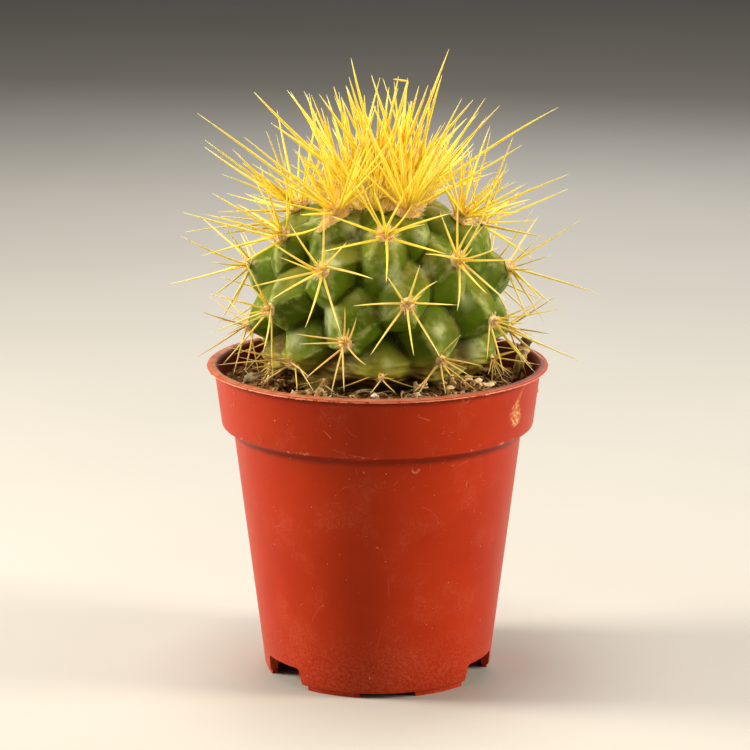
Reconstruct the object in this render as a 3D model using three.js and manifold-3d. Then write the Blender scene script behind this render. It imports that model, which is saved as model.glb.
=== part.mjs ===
// A small round cactus in a nursery pot. Millimetres, +Z up, +Y to the back.
// The origin is the middle of the pot's foot, on the pot's axis.
import * as THREE from "three";
import { mergeVertices } from "three/addons/utils/BufferGeometryUtils.js";
import Module from "manifold-3d";

const wasm = await Module();
wasm.setup();

// Fit
const GAP = 0.3;
const RADIANS = Math.PI / 180;
const UP = new THREE.Vector3(0, 1, 0);

// Pot
const RIM_RADIUS = 27.5;
const RIM_TOP = 51.1;
const LIP_HEIGHT = 0.55;
const LIP_DROOP = 0.25;
const LIP_INNER_RADIUS = 26.3;
const COLLAR_TOP_RADIUS = 26.4;
const COLLAR_FOOT_RADIUS = 25.2;
const COLLAR_FOOT_Z = 41.2;
const TAPER_TOP_RADIUS = 23.3;
const TAPER_TOP_Z = 39.9;
const FOOT_RADIUS = 18.5;
const SKIRT_Z = 0.8;
const SKIRT_THICKNESS = 1.2;
const WALL = 0.8;
const INNER_STEP_RISE = 0.4;
const PLATE_FILLET = 0.25;
const PLATE_UNDER_Z = 2.0;
const PLATE_TOP_Z = 2.9;
const POT_SIDES = 48;
const NOTCH_FOOT_Z = -1;
const NOTCH_TOP_Z = 3.55;
const NOTCH_INNER_RADIUS = 15.75;
const NOTCH_OUTER_RADIUS = 20;
const NOTCH_CENTRE = -55.6;
const NOTCH_HALF_ANGLE = 15.9;
const NOTCH_TOP_SHARE = 0.82;
const PAD_OUTER_RADIUS = 18.1;
const PAD_SPANS = [
  [-38, -9],
  [19.5, 48.6],
];
const THIRD_TURN = 120;

// Soil
const SOIL_LEVEL = 48.0;
const SOIL_SIDES = 44;
const SOIL_RINGS = [0, 13.2, 15.2, 16.6, 18.2, 20, 21.8, 23.6, 25.0];
const HOLE_PROFILE = [
  [9.4, 44.6],
  [13.0, 46.2],
  [14.9, 47.6],
];
const HOLE_TOP_Z = 60;
const SOIL_WALL_GAP = 0.4;
const SOIL_FRONT_RISE = 2.1;
const SOIL_SIDE_DROP = 0.8;
const SOIL_BACK_DROP = 0.5;

// Cactus body: the ball that the knobs' tips touch
const BALL_X = 0.37;
const BALL_Z = 61.62;
const BALL_RADIUS = 21.73;
const BALL_HALF_HEIGHT = 16.68;
const BALL_POWER = 2.3;
const BODY_COLUMNS = 92;
const BODY_ROWS = 40;
const BODY_FIRST_ANGLE = 5;
const BODY_LAST_ANGLE = 139;
const NECK = [
  [13.9, 47.7],
  [12.6, 46.7],
  [9.0, 45.0],
];
const NECK_END_Z = 44.2;

// Knobs: pairs on each level, each level turned on from the last
const FIRST_LEVEL = -10;
const LAST_LEVEL = 13;
const FIRST_AZIMUTH = -26.75;
const TURN_PER_LEVEL = 110.545;
const YOUNGEST_CLUSTER_LEVEL = -6;

// Degrees down from the top that a level lies: at level 0, for each level, and how that step shrinks
const LEVEL_ZERO_ANGLE = 66.82;
const LEVEL_STEP_ANGLE = 7.35;
const LEVEL_BEND = 0.1344;
const LEVEL_TWIST = 0.00584;

// Valleys: they deepen from the crown down, and grow shallow again near the soil
const VALLEY_DEPTH = 5.2;
const SHALLOWEST_VALLEY = 0.9;
const VALLEY_RISE_ANGLES = [8, 55];
const VALLEY_FADE_ANGLES = [112, 138];
const VALLEY_FADE = 0.75;
const VALLEY_SOFTNESS = 0.09;
const LOWEST_HEIGHT = -0.3;
const KNOB_SPAN = 14;

// A grown knob is squarish; its slopes and reach are given above its tip, beside it and below it
const KNOB_POWER = 1.2;
const KNOB_FALLS = [1.2, 1.4, 2.0];
const KNOB_REACHES = [1.0, 0.88, 0.8];

// Young knobs are rounder with a long chin
const YOUNG_LEVELS = [-1, -4];
const YOUNG_KNOB_POWER = 1.8;
const YOUNG_FALL_GAIN = 1.2;
const YOUNG_REACH_GAINS = [0.85, 1.0, 1.3];

// Old knobs droop like thumbs
const OLD_LEVELS = [-2, 8];
const OLD_REACH_GAINS = [1.5, 0.9, 0.6];

// Degrees, round the ball and downward, that a knob has grown away from the lattice; by level and side
const KNOB_SHIFTS = {
  "-6,0": [-3.4, 4.6],
  "-5,1": [0.5, -1.3],
  "-4,1": [-1.6, 1.2],
  "-3,0": [1.7, -1.5],
  "-2,1": [4.6, -1.8],
  "-1,1": [-3.8, 1.9],
  "0,0": [0, -1.3],
  "1,0": [-3.6, -0.5],
  "1,1": [3.3, 1.2],
  "2,1": [-2.9, 1.0],
  "3,0": [2.2, 1.3],
  "4,0": [-0.1, -0.2],
  "5,1": [-0.7, -1.1],
  "6,0": [-0.5, -2.7],
  "7,0": [0.4, 0],
  "8,1": [-1.0, 0.5],
  "9,1": [-4.3, -1.5],
  "10,0": [1.7, -1.9],
  "13,0": [1.0, -0.9],
};
const HIDDEN_SWAY = [2.4, 1.2];

// Spines
const PAD_RADIUS = 1.1;
const CROWN_PAD_RADIUS = 1.5;
const FOOT_PAD_RADIUS = 0.75;
const PAD_FLATNESS = 0.55;
const SPINE_ROOT_RADIUS = 0.26;
const SPINE_THINNING = 0.045;
const SPINE_SIDES = 3;
const SLIVER = 0.02;
const CROWN_SPINE_LENGTH = 19;
const USUAL_LENGTH = 13.1;
const SHORTER_PER_LEVEL = 0.82;
const SHORTENING_EASE = 0.02;
const FOOT_LEVEL = 6;
const FOOT_SHORTENING = 0.35;

// Room that a spine keeps from other clusters, the flesh, the soil, the wall and loose pieces
const SPINE_CLEARANCE = 0.16;
const FLESH_ROOM = 0.25;
const OWN_KNOB_ROOM = 0.1;
const OWN_KNOB_REACH = 2.6;
const SOIL_ROOM = 0.45;
const WALL_ROOM = 0.6;
const LOOSE_PIECE_ROOM = 0.2;

// Lean of a spine from its knob's axis, in degrees
const CROWN_TILT = 22;
const TOP_TILT = 34;
const TOP_TILT_PER_LEVEL = 5;
const SIDE_TILT = 62;
const MEASURED_TILT = 55;
const LEAST_TILT = 6;
const EITHER_SIDE_TILT = 84;
const GREATEST_TILT = 98;
const TILT_SCATTER = 9;
const AROUND_SCATTER = 12;

// Wool on the crown
const WOOL_RADIUS = 6.2;
const WOOL_HEIGHT = 1.7;
const WOOL_Z = BALL_Z + BALL_HALF_HEIGHT + GAP + 1.5;
const CROWN_ROOT_SPREAD = 0.8;

// Loose grains: size, where they lie on the soil, and how they are turned, in radians
const GRAINS = [
  { name: "bark_chip", size: [3.4, 2.6, 2.4], azimuth: -74, radius: 20.7, lift: 0.75, turn: 0.5 },
  { name: "white_grain_front", size: [1.7, 1.3, 1.1], azimuth: -1, radius: 21, lift: 0.4, turn: 1.2 },
  { name: "white_grain_middle", size: [1.1, 1.0, 0.9], azimuth: 17.5, radius: 21, lift: 0.35, turn: 2.1 },
  { name: "white_grain_right", size: [1.2, 1.1, 1.1], azimuth: 65, radius: 19.3, lift: 0.35, turn: 0.2 },
];

// Twig: a short dead stem that stands in the soil beside the wall
const TWIG_RADIUS = 0.8;
const TWIG_PATH = [
  [21.6, 3.4, 41.5],
  [22.2, 3.8, 46.2],
  [23.1, 4.4, 49.6],
  [23.9, 4.6, 52.0],
  [24.5, 4.8, 54.2],
];

// Viewpoint of the photograph, for the tips that were read off it
const VIEW_TARGET = new THREE.Vector3(-0.403, 0, 48.743);
const VIEW_DISTANCE = 486.42;
const VIEW_TILT = 0.22545;
const VIEW_FOCAL_PIXELS = 3007.6;
const VIEW_CENTRE_PIXEL = 375;

// Pixels of the photograph, [x, y], where a cluster's spines end; by level and side of the cluster.
// A third number is the spine's length, where it differs from what is usual on its level.
const TIP_PIXELS = {
  "-10,0": [[319, 94], [389, 87]],
  "-10,1": [[349, 77], [403, 111]],
  "-9,0": [[351, 58], [449, 49]],
  "-9,1": [[398, 88], [332, 128]],
  "-8,0": [[419, 86], [355, 77], [428, 85]],
  "-8,1": [[408, 80], [355, 114]],
  "-7,0": [[254, 92], [287, 90], [271, 123]],
  "-7,1": [[442, 75], [467, 118], [372, 102]],
  "-6,0": [[462, 98], [522, 145], [431, 170], [388, 150]],
  "-6,1": [[339, 92], [304, 91], [347, 115]],
  "-5,0": [[559, 107], [479, 112], [431, 89], [474, 143], [482, 179]],
  "-5,1": [[197, 113], [309, 93], [244, 137], [360, 140], [300, 215]],
  "-4,0": [[205, 140], [244, 193], [217, 212], [277, 110], [256, 171]],
  "-4,1": [[490, 126], [569, 174], [527, 183], [531, 199], [519, 212], [504, 170], [440, 180]],
  "-3,0": [[386, 283], [321, 252], [331, 216], [374, 192], [399, 206], [452, 213], [446, 254]],
  "-3,1": [[372, 130], [419, 130]],
  "-2,0": [[507, 163], [568, 189], [544, 237], [513, 239], [535, 261], [493, 180]],
  "-2,1": [[260, 165], [237, 204], [204, 214], [201, 256], [244, 262], [323, 225], [212, 193]],
  "-1,0": [[185, 232], [215, 235], [277, 180]],
  "-1,1": [[425, 254], [440, 212], [458, 200], [475, 222], [516, 260], [510, 304], [487, 294], [457, 311]],
  "0,0": [
    [289, 222], [260, 234], [246, 288], [269, 301], [305, 328],
    [341, 334], [373, 279], [347, 242], [324, 208],
  ],
  "1,0": [[580, 220], [539, 215], [599, 294, 16], [536, 269], [543, 303], [543, 321], [527, 317]],
  "1,1": [
    [181, 236], [200, 216], [224, 225], [240, 232], [211, 262],
    [169, 284, 15], [212, 297], [218, 324], [231, 312],
  ],
  "2,1": [[386, 275], [420, 265], [438, 281], [457, 305], [442, 360], [414, 356], [370, 356], [353, 306]],
  "3,0": [[209, 294], [209, 334], [237, 316], [247, 283], [263, 352], [273, 380]],
  "4,0": [[564, 308], [534, 304], [527, 323], [584, 363], [532, 367], [504, 375], [487, 359]],
  "5,1": [
    [345, 307], [349, 328], [366, 365], [295, 334], [299, 344],
    [244, 400], [305, 379], [331, 395], [344, 392],
  ],
  "6,0": [[200, 311], [195, 358], [225, 335], [221, 293], [245, 369], [260, 379]],
  "7,0": [[413, 393], [446, 394], [481, 366], [469, 375], [452, 376]],
  "8,1": [[217, 365], [227, 347], [309, 377], [297, 391]],
  "9,1": [[517, 351], [540, 365], [511, 377], [488, 375]],
  "10,0": [[337, 389], [370, 394], [396, 393], [420, 389]],
  "13,0": [[299, 388], [313, 393], [336, 393]],
};
const LEAST_SPINES = 8;
const YOUNG_SPINES = 5;
const FOOT_SPINES = 5;

// Random draws that come out the same every time
let drawState = 4242;
function draw() {
  drawState = (drawState * 16807) % 2147483647;
  return drawState / 2147483647;
}

function between(low, high) {
  return low + (high - low) * draw();
}

function smoothstep(low, high, value) {
  const t = Math.min(1, Math.max(0, (value - low) / (high - low)));
  return t * t * (3 - 2 * t);
}

// Point at a radius, an azimuth from the front (+ to the right) and a height
function polarPoint(radius, azimuth, z) {
  const a = azimuth * RADIANS;
  return new THREE.Vector3(radius * Math.sin(a), -radius * Math.cos(a), z);
}

// Solids from geometries and back
function solidOf(geometry) {
  const bare = geometry.index ? geometry.toNonIndexed() : geometry.clone();
  bare.deleteAttribute("normal");
  bare.deleteAttribute("uv");
  const merged = mergeVertices(bare, 1e-4);
  const mesh = new wasm.Mesh({
    numProp: 3,
    vertProperties: Float32Array.from(merged.attributes.position.array),
    triVerts: Uint32Array.from(merged.index.array),
  });
  return new wasm.Manifold(mesh);
}

function geometryOf(solid) {
  const mesh = solid.getMesh();
  const geometry = new THREE.BufferGeometry();
  geometry.setAttribute("position", new THREE.BufferAttribute(Float32Array.from(mesh.vertProperties), 3));
  geometry.setIndex(Array.from(mesh.triVerts));
  geometry.computeVertexNormals();
  return geometry;
}

function latheSolid(profile, sides) {
  const points = profile.map(([r, z]) => new THREE.Vector2(r, z));
  const geometry = new THREE.LatheGeometry(points, sides);
  geometry.rotateX(Math.PI / 2);
  return outward(solidOf(geometry));
}

// The same solid with its faces looking outward
function outward(solid) {
  if (solid.volume() > 0) {
    return solid;
  }
  const geometry = geometryOf(solid);
  const index = geometry.index.array;
  for (let i = 0; i < index.length; i += 3) {
    const second = index[i + 1];
    index[i + 1] = index[i + 2];
    index[i + 2] = second;
  }
  return solidOf(geometry);
}

// A closed surface from rows of points, with a point at either end. Each four-cornered cell is
// split along the diagonal that misfits least, which is the shorter one unless told otherwise.
function gridSolid(startPoint, rows, endPoint, misfit = (one, other) => one.distanceTo(other)) {
  const columns = rows[0].length;
  const positions = [startPoint, ...rows.flat(), endPoint].flatMap((p) => [p.x, p.y, p.z]);
  const index = [];
  const at = (row, column) => 1 + row * columns + (column % columns);
  const last = 1 + rows.length * columns;
  for (let c = 0; c < columns; c++) {
    index.push(0, at(0, c), at(0, c + 1));
    index.push(last, at(rows.length - 1, c + 1), at(rows.length - 1, c));
    for (let r = 0; r < rows.length - 1; r++) {
      const next = (c + 1) % columns;
      const falling = misfit(rows[r][c], rows[r + 1][next]);
      const rising = misfit(rows[r + 1][c], rows[r][next]);
      if (falling < rising) {
        index.push(at(r, c), at(r + 1, c), at(r + 1, c + 1));
        index.push(at(r, c), at(r + 1, c + 1), at(r, c + 1));
      } else {
        index.push(at(r, c), at(r + 1, c), at(r, c + 1));
        index.push(at(r + 1, c), at(r + 1, c + 1), at(r, c + 1));
      }
    }
  }
  const geometry = new THREE.BufferGeometry();
  geometry.setAttribute("position", new THREE.BufferAttribute(new Float32Array(positions), 3));
  geometry.setIndex(index);
  return outward(solidOf(geometry));
}

// A block between two radii, two azimuths and two heights; its top may be narrower than its foot
function sectorSolid(innerRadius, outerRadius, fromAzimuth, toAzimuth, lowZ, highZ, topShare = 1) {
  const from = (fromAzimuth - 90) * RADIANS;
  const to = (toAzimuth - 90) * RADIANS;
  const shape = new THREE.Shape();
  shape.absarc(0, 0, outerRadius, from, to, false);
  shape.absarc(0, 0, innerRadius, to, from, true);
  shape.closePath();
  const settings = { depth: highZ - lowZ, bevelEnabled: false, curveSegments: 4 };
  const geometry = new THREE.ExtrudeGeometry(shape, settings);
  geometry.translate(0, 0, lowZ);
  const middle = (from + to) / 2;
  const place = geometry.attributes.position;
  for (let i = 0; i < place.count; i++) {
    const radius = Math.hypot(place.getX(i), place.getY(i));
    const angle = Math.atan2(place.getY(i), place.getX(i)) - middle;
    const wrapped = Math.atan2(Math.sin(angle), Math.cos(angle));
    const turned = middle + wrapped * (place.getZ(i) > (lowZ + highZ) / 2 ? topShare : 1);
    place.setXY(i, radius * Math.cos(turned), radius * Math.sin(turned));
  }
  return solidOf(geometry);
}

// Pot: a thin tapered cup with a straight collar, a lip, foot pads and drainage notches
function buildPot() {
  const skirtInner = FOOT_RADIUS - SKIRT_THICKNESS;
  const profile = [
    [0, PLATE_UNDER_Z],
    [skirtInner, PLATE_UNDER_Z],
    [skirtInner, SKIRT_Z],
    [FOOT_RADIUS, SKIRT_Z],
    [TAPER_TOP_RADIUS, TAPER_TOP_Z],
    [COLLAR_FOOT_RADIUS, COLLAR_FOOT_Z],
    [COLLAR_TOP_RADIUS, RIM_TOP - LIP_HEIGHT],
    [RIM_RADIUS, RIM_TOP - LIP_HEIGHT],
    [RIM_RADIUS, RIM_TOP - LIP_DROOP],
    [LIP_INNER_RADIUS, RIM_TOP],
    [COLLAR_TOP_RADIUS - WALL, RIM_TOP - LIP_HEIGHT],
    [COLLAR_FOOT_RADIUS - WALL, COLLAR_FOOT_Z + INNER_STEP_RISE],
    [TAPER_TOP_RADIUS - WALL, TAPER_TOP_Z + INNER_STEP_RISE],
    [FOOT_RADIUS - WALL + PLATE_FILLET, PLATE_TOP_Z],
    [0, PLATE_TOP_Z],
  ];
  let pot = latheSolid(profile, POT_SIDES);
  for (let third = 0; third < 3; third++) {
    const turn = third * THIRD_TURN;
    for (const [from, to] of PAD_SPANS) {
      const pad = sectorSolid(skirtInner, PAD_OUTER_RADIUS, from + turn, to + turn, 0, PLATE_UNDER_Z - 0.5);
      pot = pot.add(pad);
    }
    const centre = NOTCH_CENTRE + turn;
    const from = centre - NOTCH_HALF_ANGLE;
    const to = centre + NOTCH_HALF_ANGLE;
    const radii = [NOTCH_INNER_RADIUS, NOTCH_OUTER_RADIUS];
    pot = pot.subtract(sectorSolid(...radii, from, to, NOTCH_FOOT_Z, NOTCH_TOP_Z, NOTCH_TOP_SHARE));
  }
  return pot;
}

// Polar angle from the top of the knobs' tips on a level
function levelAngle(level) {
  const start = YOUNGEST_CLUSTER_LEVEL;
  const rule = (n) => LEVEL_ZERO_ANGLE + LEVEL_STEP_ANGLE * n - LEVEL_BEND * n * n - LEVEL_TWIST * n ** 3;
  if (level >= start) {
    return rule(level);
  }
  const slope = LEVEL_STEP_ANGLE - 2 * LEVEL_BEND * start - 3 * LEVEL_TWIST * start * start;
  return rule(start) * Math.exp(((level - start) * slope) / rule(start));
}

function levelAzimuth(level, side) {
  return FIRST_AZIMUTH + TURN_PER_LEVEL * level + 180 * side;
}

// How far a knob has grown from its place in the lattice; the far side's knobs sway by a rule
function knobShift(level, side) {
  const number = 2 * level + side;
  const sway = [HIDDEN_SWAY[0] * Math.sin(13 * number), HIDDEN_SWAY[1] * Math.cos(29 * number)];
  return KNOB_SHIFTS[`${level},${side}`] ?? (level < YOUNGEST_CLUSTER_LEVEL ? [0, 0] : sway);
}

// Point of the ball at an azimuth and a polar angle; size shrinks it towards the ball's middle
function ballPoint(azimuth, angle, size = 1) {
  const power = 2 / BALL_POWER;
  const across = BALL_RADIUS * Math.abs(Math.sin(angle * RADIANS)) ** power;
  const cosine = Math.cos(angle * RADIANS);
  const along = BALL_HALF_HEIGHT * Math.sign(cosine) * Math.abs(cosine) ** power;
  const point = polarPoint(across * size, azimuth, BALL_Z + along * size);
  point.x += BALL_X;
  return point;
}

function ballNormal(azimuth, angle) {
  const step = 0.4;
  const east = ballPoint(azimuth + step, angle).sub(ballPoint(azimuth - step, angle));
  const south = ballPoint(azimuth, angle + step).sub(ballPoint(azimuth, angle - step));
  return south.cross(east).normalize();
}

// Every knob: where its tip is, which way it looks, and its two leaning axes
function layOutKnobs() {
  const knobs = [];
  for (let level = FIRST_LEVEL; level <= LAST_LEVEL + 1; level++) {
    for (const side of [0, 1]) {
      const [turned, lowered] = knobShift(level, side);
      const azimuth = levelAzimuth(level, side) + turned;
      const angle = levelAngle(level) + lowered;
      const tip = ballPoint(azimuth, angle);
      const normal = ballNormal(azimuth, angle);
      const east = new THREE.Vector3(Math.cos(azimuth * RADIANS), Math.sin(azimuth * RADIANS), 0);
      const south = new THREE.Vector3().crossVectors(east, normal).normalize();
      if (south.z > 0) {
        south.negate();
      }
      const stepTo = (levels) => {
        const turn = TURN_PER_LEVEL * levels;
        const wrapped = turn - 180 * Math.round(turn / 180);
        const ahead = ballPoint(azimuth + wrapped, levelAngle(level + levels) + lowered);
        const behind = ballPoint(azimuth - wrapped, levelAngle(level - levels) + lowered);
        return ahead.sub(behind).multiplyScalar(0.5);
      };
      const left = stepTo(3);
      const down = stepTo(5);
      const a = left.dot(east);
      const b = down.dot(east);
      const c = left.dot(south);
      const d = down.dot(south);
      const area = a * d - b * c;
      const youth = smoothstep(...YOUNG_LEVELS, level);
      const age = smoothstep(...OLD_LEVELS, level);
      knobs.push({ level, side, azimuth, angle, tip, normal, east, south, a, b, c, d, area, youth, age });
    }
  }
  return knobs;
}

const KNOBS = layOutKnobs();

// How deep the valleys between the knobs lie
function valleyDepth(angle) {
  const rise = smoothstep(...VALLEY_RISE_ANGLES, angle);
  const fade = 1 - VALLEY_FADE * smoothstep(...VALLEY_FADE_ANGLES, angle);
  return SHALLOWEST_VALLEY + VALLEY_DEPTH * rise * fade;
}

// Value between three that hold above (-1), beside (0) and below (1) a knob's tip
function between3([above, beside, below], lean) {
  return beside + ((below - above) / 2) * lean + ((above + below) / 2 - beside) * lean * lean;
}

// Height of one knob over a point of the ball: 1 at its tip, falling to its reach
function knobHeight(knob, point) {
  const away = point.clone().sub(knob.tip);
  if (away.length() > KNOB_SPAN) {
    return LOWEST_HEIGHT;
  }
  const x = away.dot(knob.east);
  const y = away.dot(knob.south);
  const p = (knob.d * x - knob.b * y) / knob.area;
  const q = (knob.a * y - knob.c * x) / knob.area;
  const power = KNOB_POWER + (YOUNG_KNOB_POWER - KNOB_POWER) * knob.youth;
  const steps = (Math.abs(p) ** power + Math.abs(q) ** power) ** (1 / power);
  const length = Math.hypot(x, y) + 1e-9;
  const lean = (y / length) * smoothstep(0, 1.5, length);
  const youngGain = 1 + knob.youth * (between3(YOUNG_REACH_GAINS, lean) - 1);
  const oldGain = 1 + knob.age * (between3(OLD_REACH_GAINS, lean) - 1);
  const fall = between3(KNOB_FALLS, lean) * (1 + knob.youth * (YOUNG_FALL_GAIN - 1));
  const height = 1 - (steps / (between3(KNOB_REACHES, lean) * youngGain * oldGain)) ** fall;
  return Math.max(LOWEST_HEIGHT, height);
}

// Height of the relief, 1 at a knob's tip and 0 in the valleys, which are a little rounded out
function relief(azimuth, angle) {
  const point = ballPoint(azimuth, angle);
  const heights = KNOBS.map((knob) => knobHeight(knob, point));
  const best = Math.max(...heights);
  let sum = 0;
  for (const height of heights) {
    sum += Math.exp((height - best) / VALLEY_SOFTNESS);
  }
  return Math.min(1, best + Math.log(sum) * VALLEY_SOFTNESS);
}

// Share of the ball's size that the flesh reaches at an azimuth and a polar angle
function fleshSize(azimuth, angle) {
  const middle = new THREE.Vector3(BALL_X, 0, BALL_Z);
  const distance = ballPoint(azimuth, angle).distanceTo(middle);
  return 1 - (valleyDepth(angle) * (1 - relief(azimuth, angle))) / distance;
}

// How far outside the flesh a point lies, along the line from the ball's middle
function fleshClearance(point) {
  const x = point.x - BALL_X;
  const across = Math.hypot(x, point.y) / BALL_RADIUS;
  const along = (point.z - BALL_Z) / BALL_HALF_HEIGHT;
  const size = (across ** BALL_POWER + Math.abs(along) ** BALL_POWER) ** (1 / BALL_POWER);
  const half = BALL_POWER / 2;
  const angle = Math.atan2(across ** half, Math.sign(along) * Math.abs(along) ** half) / RADIANS;
  const azimuth = Math.atan2(x, -point.y) / RADIANS;
  const distance = Math.hypot(x, point.y, point.z - BALL_Z);
  return distance * (1 - fleshSize(azimuth, angle) / size);
}

// Body: one knobbly ball, running down into a plain neck that stands in the soil
function buildBody() {
  const rows = [];
  for (let r = 0; r < BODY_ROWS; r++) {
    const angle = BODY_FIRST_ANGLE + ((BODY_LAST_ANGLE - BODY_FIRST_ANGLE) * r) / (BODY_ROWS - 1);
    const row = [];
    for (let c = 0; c < BODY_COLUMNS; c++) {
      const azimuth = (360 * c) / BODY_COLUMNS;
      row.push(ballPoint(azimuth, angle, fleshSize(azimuth, angle)));
    }
    rows.push(row);
  }
  for (const [radius, z] of NECK) {
    rows.push(rows[0].map((_, c) => polarPoint(radius, (360 * c) / BODY_COLUMNS, z)));
  }
  const top = ballPoint(0, 0, fleshSize(0, 0));
  const offFlesh = (one, other) => Math.abs(fleshClearance(one.clone().lerp(other, 0.5)));
  return gridSolid(top, rows, new THREE.Vector3(0, 0, NECK_END_Z), offFlesh);
}

// Soil level at a place, kept under the ball
function soilTop(x, y) {
  const radius = Math.hypot(x, y);
  const azimuth = Math.atan2(x, -y);
  const front = (0.5 + 0.5 * Math.cos(azimuth)) ** 2;
  const right = Math.max(0, Math.sin(azimuth));
  const crumbs = 0.22 * Math.sin(1.9 * x + 0.7) * Math.cos(1.6 * y) + 0.16 * Math.sin(2.7 * y - 1.3 * x);
  const slope = SOIL_FRONT_RISE * front - SOIL_BACK_DROP - SOIL_SIDE_DROP * right * (1 - front);
  const level = SOIL_LEVEL + crumbs + slope;
  const room = 1 - Math.min(1, radius / BALL_RADIUS) ** BALL_POWER;
  const underBall = BALL_Z - BALL_HALF_HEIGHT * room ** (1 / BALL_POWER);
  return Math.min(level, underBall - 0.5);
}

// Soil: fills the pot to a little under the rim, with a plain hole for the neck
function buildSoil(buried) {
  const wallRadius = (z) => {
    const taper = FOOT_RADIUS + ((TAPER_TOP_RADIUS - FOOT_RADIUS) * (z - SKIRT_Z)) / (TAPER_TOP_Z - SKIRT_Z);
    return taper - WALL - SOIL_WALL_GAP;
  };
  const ring = (radius, z) => {
    const row = [];
    for (let c = 0; c < SOIL_SIDES; c++) {
      const point = polarPoint(radius, (360 * c) / SOIL_SIDES, 0);
      point.z = z === null ? soilTop(point.x, point.y) : z;
      row.push(point);
    }
    return row;
  };
  const rows = SOIL_RINGS.slice(1).map((radius) => ring(radius, null));
  rows.push(ring(COLLAR_FOOT_RADIUS - WALL - SOIL_WALL_GAP - 0.1, COLLAR_FOOT_Z + 2 * SOIL_WALL_GAP));
  rows.push(ring(wallRadius(TAPER_TOP_Z), TAPER_TOP_Z + GAP));
  rows.push(ring(wallRadius(PLATE_TOP_Z + GAP), PLATE_TOP_Z + GAP));
  const top = new THREE.Vector3(0, 0, SOIL_LEVEL);
  const bottom = new THREE.Vector3(0, 0, PLATE_TOP_Z + GAP);
  let soil = gridSolid(top, rows, bottom);
  const holeRadius = HOLE_PROFILE.at(-1)[0];
  const hole = [[0, NECK_END_Z - GAP], ...HOLE_PROFILE, [holeRadius, HOLE_TOP_Z], [0, HOLE_TOP_Z]];
  soil = soil.subtract(latheSolid(hole, SOIL_SIDES));
  for (const piece of buried) {
    soil = soil.subtract(piece);
  }
  return soil;
}

// A chipped grain: a ball with a few flats, stretched, turned and lying in a hollow of the soil
function grainGeometry(size, turn, place, growth) {
  const geometry = new THREE.IcosahedronGeometry(1, 0);
  geometry.scale(size[0] / 2 + growth, size[1] / 2 + growth, size[2] / 2 + growth);
  geometry.rotateX(turn * 0.7);
  geometry.rotateZ(turn);
  geometry.translate(place.x, place.y, place.z);
  return geometry;
}

function grainSolid(grain, growth) {
  return solidOf(grainGeometry(grain.size, grain.turn, grainPlace(grain), growth));
}

function grainPlace(grain) {
  const point = polarPoint(grain.radius, grain.azimuth, 0);
  point.z = soilTop(point.x, point.y) + grain.lift;
  return point;
}

// Twig: a tube along its path, cut off flat
function twigSolid(growth) {
  const points = TWIG_PATH.map(([x, y, z]) => new THREE.Vector3(x, y, z));
  points.at(0).z -= growth;
  points.at(-1).z += growth * 20;
  const path = new THREE.CatmullRomCurve3(points);
  const outline = new THREE.Shape();
  outline.absarc(0, 0, TWIG_RADIUS + growth, 0, Math.PI * 2, false);
  const settings = { steps: 7, bevelEnabled: false, extrudePath: path, curveSegments: 3 };
  return outward(solidOf(new THREE.ExtrudeGeometry(outline, settings)));
}

// Unit vector from the viewpoint through a pixel of the photograph
function viewLine(pixelX, pixelY) {
  const ahead = new THREE.Vector3(0, Math.cos(VIEW_TILT), -Math.sin(VIEW_TILT));
  const up = new THREE.Vector3(0, Math.sin(VIEW_TILT), Math.cos(VIEW_TILT));
  const line = ahead.multiplyScalar(VIEW_FOCAL_PIXELS);
  line.addScaledVector(up, VIEW_CENTRE_PIXEL - pixelY);
  line.x += pixelX - VIEW_CENTRE_PIXEL;
  return line.normalize();
}

const VIEW_POINT = VIEW_TARGET.clone().add(
  new THREE.Vector3(0, -Math.cos(VIEW_TILT), Math.sin(VIEW_TILT)).multiplyScalar(VIEW_DISTANCE),
);

// The place on a pixel's line at a spine's length from its root: in front of the root or behind it
function tipOnLine(pixel, root, length, behind) {
  const line = viewLine(pixel[0], pixel[1]);
  const offset = VIEW_POINT.clone().sub(root);
  const nearest = -offset.dot(line);
  const missed = offset.addScaledVector(line, nearest).length();
  const swing = Math.sqrt(Math.max(0, length * length - missed * missed));
  return VIEW_POINT.clone().addScaledVector(line, nearest + (behind ? swing : -swing));
}

// Typical spine length on a level: long and upright at the crown, short and thin at the foot
function usualLength(level) {
  if (level < YOUNGEST_CLUSTER_LEVEL) {
    return CROWN_SPINE_LENGTH;
  }
  const footLevels = Math.max(0, level - FOOT_LEVEL);
  const shortening = SHORTER_PER_LEVEL * level - SHORTENING_EASE * level * level;
  return USUAL_LENGTH - shortening - FOOT_SHORTENING * footLevels;
}

// Corner radius of a three-sided needle at its root; it has the mean width of a round spine
function rootRadius(level) {
  return SPINE_ROOT_RADIUS * Math.exp(-SPINE_THINNING * Math.max(level, YOUNGEST_CLUSTER_LEVEL - 1));
}

function padRadius(level) {
  if (level < -3) {
    return CROWN_PAD_RADIUS;
  }
  return level < 8 ? PAD_RADIUS : FOOT_PAD_RADIUS;
}

// Distance between two tapering spines, less their radii
function spineGap(one, other) {
  const d1 = one.tip.clone().sub(one.root);
  const d2 = other.tip.clone().sub(other.root);
  const r = one.root.clone().sub(other.root);
  const a = d1.lengthSq();
  const e = d2.lengthSq();
  const b = d1.dot(d2);
  const c = d1.dot(r);
  const f = d2.dot(r);
  const denominator = a * e - b * b;
  let s = denominator > 1e-9 ? THREE.MathUtils.clamp((b * f - c * e) / denominator, 0, 1) : 0;
  let t = THREE.MathUtils.clamp((b * s + f) / e, 0, 1);
  s = THREE.MathUtils.clamp((b * t - c) / a, 0, 1);
  const nearOne = one.root.clone().addScaledVector(d1, s);
  const nearOther = other.root.clone().addScaledVector(d2, t);
  return nearOne.distanceTo(nearOther) - one.radius * (1 - s) - other.radius * (1 - t);
}

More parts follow.
